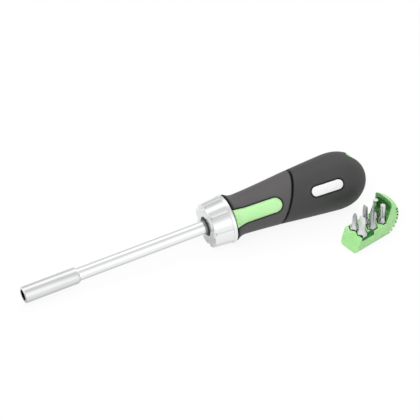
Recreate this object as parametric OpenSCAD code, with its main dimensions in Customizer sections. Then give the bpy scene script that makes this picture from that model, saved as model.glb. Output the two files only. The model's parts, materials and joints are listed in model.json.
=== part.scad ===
// Ratcheting screwdriver with a swivel handle, lying beside its loose bit cartridge.
// The tool is drawn in its own frame: x runs from the socket mouth to the butt,
// the badges face -y and +y, and the pistol side of the handle faces -z.
// The cartridge is drawn in a frame of its own: x is its length, y its width, z its height.
// The row's origin is the centre of the socket mouth, with z straight up.

/* [Bit holder] */
// Width across flats of the hexagonal bit socket
socket_af = 6.45; // [6.4:0.05:6.6]
// Depth of the bit socket down to the magnet
socket_depth = 12.5; // [11:0.5:14]
// Radius of the round lead-in at the mouth
mouth_r = 3.85; // [3.85:0.05:4.2]
// Depth of the round lead-in
mouth_depth = 2; // [1:0.5:3]
// Outside radius of the bit sleeve
sleeve_r = 5.75; // [5.5:0.05:6.5]
// Length of the bit sleeve
sleeve_len = 40; // [34:1:42]
// Chamfer round the mouth of the sleeve
sleeve_chamfer = 0.6; // [0.3:0.1:1]
// Length of the taper at the back of the sleeve
sleeve_taper = 1.4; // [1:0.1:3]
// Radius of the magnet
magnet_r = 3; // [2.5:0.1:3.2]
// Thickness of the magnet
magnet_t = 4; // [3:0.5:6]

/* [Shaft] */
// Radius of the shaft
shaft_r = 4.55; // [4.3:0.05:4.8]
// Bare length between the sleeve and the selector collar
bare_len = 94; // [80:0.2:130]

/* [Selector collar] */
// Radius over the lobes of the collar
collar_r = 16.7; // [16.4:0.1:17.4]
// Length of the collar
collar_len = 17.4; // [15.6:0.2:18]
// Number of lobes round the collar
lobes = 8; // [6:1:10]
// Radius of each lobe's own arc
lobe_r = 10.4; // [9.5:0.1:11]
// Radius of the plain rim at the back
rim_r = 17.05; // [16.9:0.05:18]
// Width of the plain rim
rim_w = 2.3; // [1.5:0.1:3]
// Flat radius of the front face, before the dome starts
face_r = 9.4; // [7.5:0.1:10]
// Length of the domed shoulder
shoulder_len = 6.8; // [5:0.1:9]
// Thickness of the wall behind the front face
plate_t = 1.7; // [1.5:0.1:2.5]
// Turn of the collar to either side of neutral, in degrees
selector_turn = 20; // [15:1:20]

/* [Ratchet] */
// Radius of the ratchet housing's barrel
barrel_r = 13.2; // [13:0.1:13.4]
// Tip radius of the ratchet gear
gear_r = 7.5; // [7.3:0.1:7.6]
// Depth of the ratchet teeth
tooth_h = 1.2; // [1:0.1:1.3]
// Number of ratchet teeth
teeth = 24; // [24:12:24]
// Width of the ratchet gear
gear_w = 7.2; // [6:0.2:8]
// Radius at which the pawl pivots
pawl_pivot_r = 10.3; // [10.2:0.05:10.4]
// Rocking angle of the pawl to either side, in degrees
pawl_turn = 9; // [8:0.5:9]
// Reach of each wing of the pawl
wing_len = 5; // [4.8:0.1:5.1]
// Radius of the pawl's pin
pawl_pin_r = 0.8; // [0.7:0.05:0.9]

/* [Handle] */
// Length of the handle
handle_len = 103.5; // [96:0.5:110]
// Radius of the flange next to the collar
flange_r = 16.4; // [16:0.1:17]
// Distance from the front of the handle to its neck
neck_at = 8.5; // [7:0.5:11]
// Radius at the neck
neck_r = 14.25; // [14:0.05:15]
// Distance from the butt to the start of the belly
back_at = 32; // [29.5:0.5:35.5]
// Radius at the start of the belly
back_r = 19.5; // [19:0.1:20]
// Distance from the butt to the belly
belly_at = 24; // [21.5:0.5:26.5]
// Radius of the belly
belly_r = 20; // [19.8:0.1:21]
// Thickness of the soft skin on the front handle
front_skin = 2.5; // [2:0.1:2.8]
// Thickness of the soft skin on the rear handle
rear_skin = 1.8; // [1.5:0.1:2]

/* [Swivel] */
// Distance from the front of the handle to the swivel seam
seam_at = 41.5; // [38:0.5:45]
// Lean of the seam from square, in degrees
seam_lean = 27; // [22:1:30]
// Open gap at the seam
seam_gap = 0.6; // [0.4:0.1:1]
// Drop of the handle's middle line at the seam
seam_drop = 0.7; // [0:0.1:1.5]
// Further droop of the rear handle, in degrees
rear_droop = 1.7; // [0:0.1:3]
// Radius of the swivel spigot
spigot_r = 10; // [9:0.1:10]
// Length of the swivel spigot
spigot_len = 6; // [5:0.2:7]
// Radius of the swivel bolt
bolt_r = 3; // [2.5:0.1:3.2]

/* [Inlays and badges] */
// Length of the green inlay from the front of the handle
inlay_len = 34.5; // [28:0.5:36]
// Width of the inlay
inlay_w = 10; // [8:0.5:11]
// Width of the inlay where it meets the collar
inlay_flare_w = 12.8; // [11:0.2:14]
// Distance from the swivel seam to the middle of the badge
badge_at = 26.5; // [22.5:0.1:26.5]
// Length of the badge
badge_len = 23; // [18:0.5:25]
// Width of the badge
badge_w = 7; // [6:0.2:8]
// Thickness of the badge
badge_t = 1.1; // [0.8:0.1:1.3]

/* [Cartridge] */
// Length of the cartridge over its hood
cartridge_len = 41; // [40:0.5:41.5]
// Width of the cartridge
cartridge_w = 16; // [15.5:0.1:16.2]
// Height of the cartridge over its hood
cartridge_h = 29.2; // [28.8:0.1:29.6]
// Height of the tray that holds the bits
tray_h = 12; // [11.5:0.1:12.5]
// Slope of the tray's free end
bow_slope = 4.2; // [3:0.2:4.4]
// Radius of the cartridge's long edges
cartridge_edge_r = 3; // [2.6:0.1:3.4]
// Radius of the round end
hood_r = 17.6; // [17.2:0.1:18.4]
// Distance from the round end to the hood's open mouth, at the tray
hood_at = 13.5; // [13:0.1:14]
// Lean of the hood's mouth, from the tray to the brow
hood_lean = 4.5; // [4:0.1:5]
// Thickness of the hood's roof
hood_t = 3; // [2.4:0.1:3.2]
// Number of grip grooves on the round end
grip_grooves = 8; // [5:1:8]

/* [Bits] */
// Width across flats of a bit's shank
bit_af = 6.35; // [6.3:0.05:6.35]
// Length of a bit
bit_len = 25; // [23:0.5:26]
// Distance between neighbouring bits along the cartridge
bit_pitch = 9.5; // [9.2:0.1:9.5]
// Distance between the two rows of bits
bit_row_gap = 7.2; // [7.1:0.1:7.3]

/* [Pose] */
// Roll of the tool where it lies, in degrees
roll = -35; // [-45:1:-20]
// Distance along the tool to the cartridge's near corner
cartridge_x = 221.1; // [205:0.2:240]
// Distance beside the tool to the cartridge's near corner
cartridge_y = -55.5; // [-80:0.1:-50]
// Turn of the cartridge on the floor, in degrees
cartridge_yaw = 14.3; // [0:0.1:25]

/* [Hidden] */
$fn = 64;

// Overrun of every cut past the face it opens
cut = 1;
// Size of a block that trims whole solids
block = 400;
// Clearance between pieces pressed together
press_gap = 0.03;
// Radial clearance of a shaft that turns in its bore
run_gap = 0.06;
// Clearance between pieces that move past each other
free_gap = 0.3;
// Number of steps in a smooth stretch of outline
steps = 12;

// Places along the tool
collar_x = sleeve_len + bare_len;
handle_gap = 1.1;
handle_x = collar_x + collar_len + handle_gap;
seam_x = handle_x + seam_at;
butt_x = handle_x + handle_len;
belly_x = butt_x - belly_at;
shaft_start = socket_depth + magnet_t;

// Ratchet housing and what it holds
nose_r = 4.95;
nose_out = 0.7;
nose_x = collar_x - nose_out;
plate_gap = 0.12;
barrel_x = collar_x + plate_t + plate_gap;
core_inset = 0.5;
core_x = handle_x + core_inset;
front_wall = 4;
cavity_x = barrel_x + front_wall;
cavity_w = gear_w + 2 * free_gap;
cavity_r = gear_r + free_gap;
rear_wall = 5;
gear_x = cavity_x + free_gap;
pilot_r = 10.6;
pilot_len = 13.5;
pilot_end = core_x + pilot_len;
well_r = 7;
well_x = cavity_x + cavity_w + rear_wall;
pocket_half_w = 6.7;
bit_hex_r = bit_af / 2 / cos(30);
socket_hex_r = socket_af / 2 / cos(30);

// Clip that keeps the shaft in the housing, and the ball that takes its thrust
clip_t = 0.8;
clip_r = 6.2;
clip_groove = 0.6;
clip_hold = 0.5;
clip_x = well_x + free_gap;
shaft_tail = 1.6;
shaft_end = clip_x + clip_t + shaft_tail;
thrust_ball_r = 2.2;
thrust_gap = 0.1;
thrust_seat_share = 0.5;
thrust_ball_x = shaft_end + thrust_ball_r * thrust_seat_share;
plug_x = thrust_ball_x + thrust_ball_r * thrust_seat_share;
housing_pin_r = 1.2;
housing_pin_x = (plug_x + pilot_end) / 2;
housing_pin_len = 21.6;

// Key between the shaft and the gear
key_w = 2;
key_margin = 0.4;
key_len = gear_w - 2 * key_margin;

// Pawl
pawl_boss_r = 1.6;
wing_top = 1.1;
wing_bottom = -1;
nose_tip_r = 6.88;
nose_root_r = 8.1;
nose_tip_half_w = 0.15;
nose_root_half_w = 0.66;
nose_at = 30;
pawl_margin = 0.3;
lug_r = 12.2;
lug_half_turn = 8;

// Collar
pawl_room = 1.5;
collar_bore_r = max(barrel_r, pawl_pivot_r + wing_top + pawl_room) + free_gap;
collar_wall = 2.9;
collar_fit_r = max(collar_r, collar_bore_r + collar_wall);
rim_proud = 0.3;
rim_fit_r = max(rim_r, collar_fit_r + rim_proud);
face_drop = 4.1;
face_fit_r = max(face_r, collar_bore_r - face_drop);
hub_bore_r = nose_r + free_gap / 2;
lobe_offset = collar_fit_r - lobe_r;
flute_r = 2.2;
flute_start = 0.5;
flute_lean = 9;
collar_clip_t = 0.55;
collar_clip_r = 5.45;
seal_t = 0.7;
seal_r = 5.45;

// Selector detent
detent_ball_r = 1.5;
detent_hole_r = 1.6;
detent_floor_r = 8.7;
detent_ball_inset = 1.2;
detent_ball_at = collar_bore_r - detent_ball_inset;
detent_x = cavity_x + cavity_w / 2;
detent_groove = 0.25;
detent_dimple = 0.45;
detent_wire_r = 0.22;

// Slot for the cartridge, and the belly that holds it
slot_gap = 0.25;
slot_end_gap = 1;
slot_w = cartridge_w + 2 * slot_gap;
slot_h = cartridge_h + 2 * slot_gap;
slot_x = butt_x - cartridge_len - slot_end_gap;
slot_edge_r = cartridge_edge_r;
slot_rim = 1.3;
slot_rim_at = 8.5;
slot_rim_x = belly_x + slot_rim_at;
back_fit_r = max(back_r, slot_h / 2 + slot_rim + rear_skin);
belly_fit_r = max(belly_r, back_fit_r + belly_r - back_r);

// Handle outline: each station has its place, its radius and its slope
flange_lip = 0.9;
flange_step = 0.65;
flange_fit_r = max(flange_r, rim_fit_r - flange_step);
flange_slope = -0.75;
neck_slope = 0.05;
back_slope = 0.07;
dome_power = 2.2;
front_station = [handle_x + flange_lip, flange_fit_r, flange_slope];
neck_station = [handle_x + neck_at, neck_r, neck_slope];
back_station = [butt_x - back_at, back_fit_r, back_slope];
belly_station = [belly_x, belly_fit_r, 0];
dome_len = butt_x - belly_x;
seam_overhang = belly_fit_r * tan(seam_lean) + 2 * cut;
front_tilt = asin(seam_drop / seam_at);
inlay_inset = 0.2;
badge_inset = 0.15;
window_gap = 0.3;
bond_gap = 0.02;

// Swivel joint, measured along its own axis from the seam
bolt_head_at = -12;
bolt_head_h = 3.5;
bolt_head_r = 5.77;
spring_seat_at = 3.6;
swivel_spring_len = 4.3;
swivel_spring_r = 4.6;
swivel_wire_r = 0.55;
washer_r = 5.6;
washer_t = 1;
nut_h = 4;
washer_at = spring_seat_at + swivel_spring_len + thrust_gap;
nut_at = washer_at + washer_t;
bolt_tail = 0.4;
nut_pocket_r = 6.3;
nut_pocket_end = nut_at + nut_h + 2 * bolt_tail;
swivel_ball_r = 1.5;
swivel_ball_at = 12.3;
swivel_ball_turn = 40;
swivel_ball_proud = 0.65;
swivel_ball_depth = seam_gap / 2 + swivel_ball_r - swivel_ball_proud - seam_gap;
swivel_hole_depth = 5;

// Cartridge
hood_centre_x = cartridge_len - hood_r;
hood_mouth_x = cartridge_len - hood_at;
brow_x = hood_mouth_x + hood_lean;
brow_share = 0.7;
brow_z = tray_h + (cartridge_h - tray_h) * brow_share;
pocket_room = 0.15;
pocket_r = bit_hex_r + pocket_room / cos(30);
pocket_floor = 1;
lead_in = 0.5;
lead_in_h = 0.8;
lead_over = 0.05;
brow_gap = 0.33;
end_wall = 0.4;
last_bit_x = brow_x - brow_gap - bit_hex_r;
pocket_wall = 0.1;
pocket_step = 2 * pocket_r + pocket_wall;
first_edge = pocket_r + lead_in + end_wall;
bow_fit = min(bow_slope, last_bit_x - 2 * pocket_step - first_edge);
bit_room = last_bit_x - first_edge - bow_fit;
bit_step = min(bit_pitch, bit_room / 2);
first_bit_x = last_bit_x - 2 * bit_step;
row_half = max(bit_row_gap, bit_af + 2 * pocket_room) / 2;
hood_side_room = 0.22;
hood_pocket_w = 2 * row_half + bit_af + 2 * hood_side_room;
notch_start = -3.6;
notch_w = 11;
notch_depth = 3;
notch_reach = 2.6;
groove_first = -54;
groove_turn = 11;
groove_w = 1.4;
groove_depth = 0.8;
groove_side_depth = 4.4;
groove_flat_share = 0.45;

// Bits: a hexagonal shank, a turned neck and a tip
bit_shank_h = 12;
bit_neck_h = 3;
bit_base_chamfer = 0.5;
bit_shoulder = 0.2;
cross_large_r = 2.4;
cross_small_r = 1.8;
cross_point_r = 0.6;
flat_large_w = 4.5;
flat_large_t = 1;
flat_small_w = 3.5;
flat_small_t = 0.8;
hex_tip_r = 1.9;
star_tip_r = 1.8;

function hermite(a, b, t) = let (
    span = b[0] - a[0],
    rise = t * t * (3 - 2 * t)
) [
    a[0] + span * t,
    a[1] + (b[1] - a[1]) * rise + span * (a[2] * t * (1 - t) * (1 - t) - b[2] * t * t * (1 - t))
];

function stretch(a, b, n) = [for (i = [1:n]) hermite(a, b, i / n)];

// Outline of the handle from its front face to the belly
function grip_outline() = concat(
    [[handle_x, flange_fit_r], [front_station[0], flange_fit_r]],
    stretch(front_station, neck_station, steps / 2),
    stretch(neck_station, back_station, steps),
    stretch(back_station, belly_station, steps / 3)
);

// The domed butt, drawn in by an inset
function dome_outline(inset) = [
    for (i = [1:steps]) let (a = 90 * i / steps) [
        belly_x + (dome_len - inset) * pow(sin(a), 2 / dome_power),
        i == steps ? 0 : (belly_fit_r - inset) * cos(a)
    ]
];

function drawn_in(points, inset) = [for (p = points) [p[0], p[1] - inset]];
function reversed(points) = [for (i = [len(points) - 1:-1:0]) points[i]];
function before(points, x) = [for (p = points) if (p[0] <= x) p];
function after(points, x) = [for (p = points) if (p[0] >= x) p];

// How the tool lies: the collar's rim and the belly rest on the floor together
function rim_low(pitch) = (handle_x - handle_gap - rim_w) * sin(pitch) - rim_fit_r * cos(pitch);
function rear_low(pitch) = min([
    for (p = after(grip_outline(), seam_x)) let (
        along = p[0] - seam_x,
        drop = seam_drop + along * sin(rear_droop)
    ) (seam_x + along * cos(rear_droop)) * sin(pitch) - (drop * cos(roll) + p[1]) * cos(pitch)
]);
function settle(low, high, n) = let (mid = (low + high) / 2)
    n == 0 ? mid : rear_low(mid) > rim_low(mid) ? settle(low, mid, n - 1) : settle(mid, high, n - 1);
steepest = 10;
halvings = 16;
pitch = settle(0, steepest, halvings);
floor_z = rim_low(pitch);

// Placing
module lying() {
    rotate([0, -pitch, 0]) rotate([roll, 0, 0]) children();
}

module front_frame() {
    translate([handle_x, 0, 0]) rotate([0, front_tilt, 0]) translate([-handle_x, 0, 0]) children();
}

module rear_frame() {
    translate([seam_x, 0, -seam_drop]) rotate([0, rear_droop, 0]) translate([-seam_x, 0, 0]) children();
}

module swivel_frame() {
    translate([seam_x, 0, -seam_drop]) rotate([0, 90 + seam_lean, 0]) children();
}

module cartridge_frame() {
    translate([cartridge_x, cartridge_y, floor_z]) rotate([0, 0, cartridge_yaw]) children();
}

// Turns a solid drawn along z to lie along x, from a given place
module along_x(x) {
    translate([x, 0, 0]) rotate([0, 90, 0]) children();
}

// Extrudes a section drawn across the tool, with its first axis to y and its second to z
module section(x, length) {
    translate([x, 0, 0]) rotate([90, 0, 90]) linear_extrude(length) children();
}

// Revolves an outline of [place, radius] points about the tool's axis
module turned(points) {
    rotate([0, 90, 0]) rotate_extrude() polygon([for (p = points) [p[1], p[0]]]);
}

module keep_left() {
    intersection() {
        children();
        translate([-block, -block, -block / 2]) cube([2 * block, block, block]);
    }
}

module keep_right() {
    intersection() {
        children();
        translate([-block, 0, -block / 2]) cube([2 * block, block, block]);
    }
}

module rounded_rect(w, h, r) {
    square([w - 2 * r, h], center = true);
    square([w, h - 2 * r], center = true);
    for (x = [-1, 1], y = [-1, 1]) translate([x * (w / 2 - r), y * (h / 2 - r)]) circle(r);
}

// One wire of a coil spring, swept as a closed tube about z
module coil(r, wire_r, length, turns) {
    sides = 6;
    per_turn = 12;
    rings = turns * per_turn;
    rise = length - 2 * wire_r;
    points = [
        for (i = [0:rings], j = [0:sides - 1]) let (
            a = 360 * i / per_turn,
            b = 360 * j / sides,
            d = r + wire_r * cos(b)
        ) [d * cos(a), d * sin(a), wire_r + rise * i / rings + wire_r * sin(b)]
    ];
    walls = [
        for (i = [0:rings - 1], j = [0:sides - 1]) let (k = (j + 1) % sides, n = i * sides) each [
            [n + j, n + k, n + sides + k],
            [n + j, n + sides + k, n + sides + j]
        ]
    ];
    ends = [
        [for (j = [sides - 1:-1:0]) j],
        [for (j = [0:sides - 1]) rings * sides + j]
    ];
    polyhedron(points, concat([for (f = walls) reversed(f)], [for (f = ends) reversed(f)]));
}

// Bit holder and shaft
module bit_sleeve() {
    color("silver") lying() difference() {
        turned([
            [0, mouth_r], [0, sleeve_r - sleeve_chamfer], [sleeve_chamfer, sleeve_r],
            [sleeve_len - sleeve_taper, sleeve_r], [sleeve_len, shaft_r + sleeve_chamfer / 2],
            [sleeve_len, shaft_r + press_gap], [shaft_start, shaft_r + press_gap],
            [shaft_start, magnet_r + press_gap], [mouth_depth, magnet_r + press_gap],
            [mouth_depth, mouth_r]
        ]);
        along_x(mouth_depth - cut) cylinder(r = socket_hex_r, h = socket_depth - mouth_depth + cut, $fn = 6);
    }
}

module socket_magnet() {
    color("dimgray") lying() along_x(socket_depth) cylinder(r = magnet_r, h = magnet_t);
}

module drive_shaft() {
    color("silver") lying() difference() {
        along_x(shaft_start) cylinder(r = shaft_r, h = shaft_end - shaft_start);
        turned([
            [clip_x - press_gap, shaft_r - clip_groove], [clip_x - press_gap, shaft_r + cut],
            [clip_x + clip_t + press_gap, shaft_r + cut], [clip_x + clip_t + press_gap, shaft_r - clip_groove]
        ]);
        translate([thrust_ball_x, 0, 0]) sphere(thrust_ball_r + thrust_gap);
        key_block(press_gap);
    }
}

module key_block(gap) {
    translate([gear_x + key_margin - gap, -key_w / 2 - gap, -shaft_r - key_w / 2 - gap])
        cube([key_len + 2 * gap, key_w + 2 * gap, key_w + 2 * gap]);
}

module gear_key() {
    color("gray") lying() key_block(0);
}

module ratchet_gear() {
    pitch_turn = 360 / teeth;
    tip_share = 0.15;
    root_share = 0.375;
    color("darkgray") lying() difference() {
        section(gear_x, gear_w) polygon([
            for (i = [0:teeth - 1]) let (a = 90 + (i + 0.5) * pitch_turn) each [
                for (s = [[-root_share, gear_r - tooth_h], [-tip_share, gear_r], [tip_share, gear_r],
                          [root_share, gear_r - tooth_h]])
                    [s[1] * cos(a + s[0] * pitch_turn), s[1] * sin(a + s[0] * pitch_turn)]
            ]
        ]);
        along_x(gear_x - cut) cylinder(r = shaft_r + press_gap, h = gear_w + 2 * cut);
        translate([gear_x - cut, -key_w / 2 - press_gap, -shaft_r - key_w / 2 - press_gap])
            cube([gear_w + 2 * cut, key_w + 2 * press_gap, key_w]);
    }
}

module shaft_clip() {
    opening = 2 * (shaft_r - clip_groove - clip_hold);
    color("dimgray") lying() difference() {
        along_x(clip_x) cylinder(r = clip_r, h = clip_t);
        along_x(clip_x - cut) cylinder(r = shaft_r - clip_groove + press_gap, h = clip_t + 2 * cut);
        translate([clip_x - cut, 0, -opening / 2]) cube([clip_t + 2 * cut, clip_r + cut, opening]);
    }
}

// Selector collar
module collar_blank() {
    turned(concat(
        [[collar_x, hub_bore_r]],
        [
            for (i = [0:steps / 2]) let (a = 90 * i / (steps / 2))
                [collar_x + shoulder_len * (1 - cos(a)), face_fit_r + (rim_fit_r - face_fit_r) * sin(a)]
        ],
        [
            [collar_x + collar_len, rim_fit_r], [collar_x + collar_len, collar_bore_r],
            [collar_x + plate_t, collar_bore_r], [collar_x + plate_t, hub_bore_r]
        ]
    ));
}

module selector_collar() {
    color("gainsboro") lying() {
        difference() {
            collar_blank();
            section(collar_x - cut, collar_len - rim_w + cut) difference() {
                circle(rim_fit_r + cut);
                for (i = [0:lobes - 1]) rotate(360 * i / lobes) translate([lobe_offset, 0]) circle(lobe_r);
                circle(collar_bore_r + cut / 2);
            }
            for (i = [0:lobes - 1]) rotate([360 * (i + 0.5) / lobes, 0, 0])
                translate([collar_x - flute_start - flute_r, 0, 0])
                    rotate([0, flute_lean, 0]) cylinder(r = flute_r, h = collar_fit_r);
            rotate([0, 90, 0]) rotate_extrude() translate([detent_ball_at, detent_x])
                circle(detent_ball_r + detent_groove);
            for (a = [-selector_turn, 0, selector_turn]) rotate([a, 0, 0])
                translate([detent_x, 0, -detent_ball_at]) sphere(detent_ball_r + detent_dimple);
        }
        section(cavity_x + pawl_margin, gear_w) intersection() {
            difference() {
                circle(collar_bore_r + cut / 2);
                circle(lug_r);
            }
            polygon([
                [0, 0], [-block * sin(lug_half_turn), block * cos(lug_half_turn)],
                [block * sin(lug_half_turn), block * cos(lug_half_turn)]
            ]);
        }
    }
}

module collar_clip() {
    color("dimgray") lying() difference() {
        along_x(collar_x - collar_clip_t - thrust_gap) cylinder(r = collar_clip_r, h = collar_clip_t);
        along_x(nose_x - cut) cylinder(r = nose_r + press_gap, h = nose_out + 2 * cut);
    }
}

module shaft_seal() {
    color("black") lying() difference() {
        along_x(nose_x - seal_t) cylinder(r = seal_r, h = seal_t);
        along_x(nose_x - seal_t - cut) cylinder(r = shaft_r + run_gap, h = seal_t + 2 * cut);
    }
}

// Point of the pawl's nose, given in its engaged place and rocked back to neutral
function nose_point(r, off) = let (
    y = r * sin(nose_at) + off * cos(nose_at),
    z = r * cos(nose_at) - off * sin(nose_at) - pawl_pivot_r
) [y * cos(pawl_turn) - z * sin(pawl_turn), y * sin(pawl_turn) + z * cos(pawl_turn)];

module rocker_pawl() {
    side = [
        nose_point(nose_root_r, -nose_root_half_w), nose_point(nose_tip_r, -nose_tip_half_w),
        nose_point(nose_tip_r, nose_tip_half_w), nose_point(nose_root_r, nose_root_half_w),
        [wing_len, wing_bottom], [wing_len, wing_top]
    ];
    color("darkgray") lying() section(gear_x, gear_w) translate([0, pawl_pivot_r]) difference() {
        union() {
            polygon(concat(side, [for (p = reversed(side)) [-p[0], p[1]]]));
            circle(pawl_boss_r);
        }
        circle(pawl_pin_r + run_gap);
    }
}

module pawl_pin() {
    pin_x = cavity_x - front_wall / 2;
    color("silver") lying() translate([0, 0, pawl_pivot_r]) along_x(pin_x)
        cylinder(r = pawl_pin_r, h = front_wall + cavity_w);
}

module ratchet_housing() {
    pin_x = cavity_x - front_wall / 2;
    color("lightgray") lying() difference() {
        turned([
            [nose_x, shaft_r + run_gap], [nose_x, nose_r], [barrel_x, nose_r], [barrel_x, barrel_r],
            [core_x, barrel_r], [core_x, pilot_r], [pilot_end, pilot_r], [pilot_end, well_r],
            [well_x, well_r], [well_x, shaft_r + run_gap], [cavity_x + cavity_w, shaft_r + run_gap],
            [cavity_x + cavity_w, cavity_r], [cavity_x, cavity_r], [cavity_x, shaft_r + run_gap]
        ]);
        translate([cavity_x, -pocket_half_w, gear_r - tooth_h])
            cube([cavity_w, 2 * pocket_half_w, barrel_r]);
        translate([0, 0, pawl_pivot_r]) along_x(pin_x - press_gap)
            cylinder(r = pawl_pin_r + press_gap, h = front_wall + cavity_w + 2 * press_gap);
        translate([detent_x, 0, -barrel_r - cut])
            cylinder(r = detent_hole_r, h = barrel_r + cut - detent_floor_r);
        housing_pin_hole(press_gap);
    }
}

module housing_pin_hole(gap) {
    translate([housing_pin_x, 0, -housing_pin_len / 2 - gap])
        cylinder(r = housing_pin_r + gap, h = housing_pin_len + 2 * gap);
}

module housing_pin() {
    color("silver") lying() housing_pin_hole(0);
}

module thrust_ball() {
    color("silver") lying() translate([thrust_ball_x, 0, 0]) sphere(thrust_ball_r);
}

module thrust_plug() {
    color("gray") lying() difference() {
        along_x(plug_x) cylinder(r = well_r - press_gap, h = pilot_end - plug_x);
        translate([thrust_ball_x, 0, 0]) sphere(thrust_ball_r + press_gap);
        housing_pin_hole(press_gap);
    }
}

module selector_ball() {
    color("silver") lying() translate([detent_x, 0, -detent_ball_at]) sphere(detent_ball_r);
}

module selector_spring() {
    length = detent_ball_at - detent_ball_r - detent_floor_r - 2 * press_gap;
    color("gray") lying() translate([detent_x, 0, -detent_floor_r - press_gap - length])
        coil(detent_hole_r - 2 * detent_wire_r, detent_wire_r, length, 3);
}

// Handle
module skin_behind(gap) {
    swivel_frame() translate([-block / 2, -block / 2, gap]) cube([block, block, block / 2]);
}

module skin_before(gap) {
    swivel_frame() translate([-block / 2, -block / 2, -block / 2 - gap]) cube([block, block, block / 2]);
}

// Outline of the green inlay, drawn with its length along x
module inlay_outline(gap) {
    tip_x = handle_x + inlay_len - inlay_w / 2;
    translate([tip_x, 0]) circle(inlay_w / 2 + gap);
    polygon([
        [tip_x, inlay_w / 2 + gap], [handle_x + neck_at, inlay_w / 2 + gap],
        [handle_x - cut, inlay_flare_w / 2 + gap], [handle_x - cut, -inlay_flare_w / 2 - gap],
        [handle_x + neck_at, -inlay_w / 2 - gap], [tip_x, -inlay_w / 2 - gap]
    ]);
}

// A window through both sides of the handle, cut along y
module both_sides(reach) {
    for (s = [-1, 1]) translate([0, s > 0 ? reach : 0, 0]) rotate([90, 0, 0])
        linear_extrude(reach) children();
}

module front_solid(inset) {
    outline = drawn_in(before(grip_outline(), seam_x + seam_overhang), inset);
    turned(concat([[outline[0][0], 0]], outline, [[outline[len(outline) - 1][0], 0]]));
}

module front_core() {
    difference() {
        front_frame() {
            intersection() {
                front_solid(front_skin + bond_gap);
                translate([core_x, -block / 2, -block / 2]) cube(block);
            }
            intersection() {
                front_solid(inlay_inset);
                both_sides(block) inlay_outline(0);
                translate([handle_x, -block / 2, -block / 2]) cube(block);
            }
        }
        skin_behind(-seam_gap / 2);
        along_x(handle_x - cut) cylinder(r = barrel_r + free_gap, h = core_x - handle_x + cut);
        along_x(core_x - cut) cylinder(r = pilot_r + press_gap, h = pilot_len + cut + press_gap);
        housing_pin_hole(press_gap);
        swivel_frame() {
            translate([0, 0, -spigot_len - free_gap]) cylinder(r = spigot_r + run_gap, h = spigot_len + block);
            translate([0, 0, bolt_head_at - cut]) cylinder(r = bolt_r + press_gap, h = -bolt_head_at + cut);
            translate([0, 0, bolt_head_at - bolt_head_h - press_gap])
                cylinder(r = bolt_head_r + press_gap, h = bolt_head_h + 2 * press_gap, $fn = 6);
            translate([0, 0, swivel_ball_depth]) rotate_extrude() translate([swivel_ball_at, 0])
                circle(swivel_ball_r + detent_groove);
            for (a = [0, 180]) rotate([0, 0, swivel_ball_turn + a])
                translate([swivel_ball_at, 0, swivel_ball_depth]) sphere(swivel_ball_r + detent_dimple);
        }
    }
}

module front_core_left() {
    color("limegreen") lying() keep_left() front_core();
}

module front_core_right() {
    color("limegreen") lying() keep_right() front_core();
}

module front_grip() {
    outline = before(grip_outline(), seam_x + seam_overhang);
    color("dimgray") lying() difference() {
        front_frame() difference() {
            turned(concat(outline, reversed(drawn_in(outline, front_skin))));
            both_sides(block) inlay_outline(window_gap);
        }
        skin_behind(-seam_gap / 2);
    }
}

module swivel_bolt() {
    length = nut_at + nut_h + bolt_tail - bolt_head_at;
    color("silver") lying() swivel_frame() {
        translate([0, 0, bolt_head_at - bolt_head_h]) cylinder(r = bolt_head_r, h = bolt_head_h, $fn = 6);
        translate([0, 0, bolt_head_at - cut]) cylinder(r = bolt_r, h = length + cut);
    }
}

module swivel_washer() {
    color("silver") lying() swivel_frame() translate([0, 0, washer_at]) difference() {
        cylinder(r = washer_r, h = washer_t);
        translate([0, 0, -cut]) cylinder(r = bolt_r + run_gap, h = washer_t + 2 * cut);
    }
}

module swivel_nut() {
    color("silver") lying() swivel_frame() translate([0, 0, nut_at]) difference() {
        cylinder(r = bolt_head_r, h = nut_h, $fn = 6);
        translate([0, 0, -cut]) cylinder(r = bolt_r + press_gap, h = nut_h + 2 * cut);
    }
}

module swivel_spring() {
    color("gray") lying() swivel_frame() translate([0, 0, spring_seat_at + press_gap])
        coil(swivel_spring_r, swivel_wire_r, swivel_spring_len - press_gap, 3);
}

module swivel_ball() {
    color("silver") lying() swivel_frame() rotate([0, 0, swivel_ball_turn])
        translate([swivel_ball_at, 0, swivel_ball_depth]) sphere(swivel_ball_r);
}

module swivel_ball_spring() {
    start = swivel_ball_depth + swivel_ball_r + press_gap;
    color("gray") lying() swivel_frame() rotate([0, 0, swivel_ball_turn])
        translate([swivel_ball_at, 0, start])
            coil(detent_hole_r - 2 * detent_wire_r, detent_wire_r, swivel_hole_depth - start - press_gap, 3);
}

module rear_solid(inset) {
    outline = concat(drawn_in(after(grip_outline(), seam_x - seam_overhang), inset), dome_outline(inset));
    turned(concat([[outline[0][0], 0]], outline));
}

module slot_outline(rim) {
    rounded_rect(slot_w + 2 * rim, slot_h + 2 * rim, slot_edge_r + rim);
}

module rear_core() {
    difference() {
        union() {
            difference() {
                rear_frame() {
                    rear_solid(rear_skin + bond_gap);
                    intersection() {
                        rear_solid(inlay_inset);
                        section(slot_rim_x, block) slot_outline(slot_rim);
                    }
                }
                skin_before(-seam_gap / 2);
            }
            swivel_frame() translate([0, 0, -spigot_len]) cylinder(r = spigot_r, h = spigot_len + seam_gap);
        }
        rear_frame() section(slot_x, block) slot_outline(0);
        swivel_frame() {
            translate([0, 0, -spigot_len - cut]) cylinder(r = bolt_r + run_gap, h = spigot_len + nut_at + cut);
            translate([0, 0, spring_seat_at]) cylinder(r = nut_pocket_r, h = nut_pocket_end - spring_seat_at);
            rotate([0, 0, swivel_ball_turn]) translate([swivel_ball_at, 0, 0])
                cylinder(r = detent_hole_r, h = swivel_hole_depth);
        }
    }
}

module rear_core_left() {
    color("limegreen") lying() keep_left() rear_core();
}

module rear_core_right() {
    color("limegreen") lying() keep_right() rear_core();
}

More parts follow.
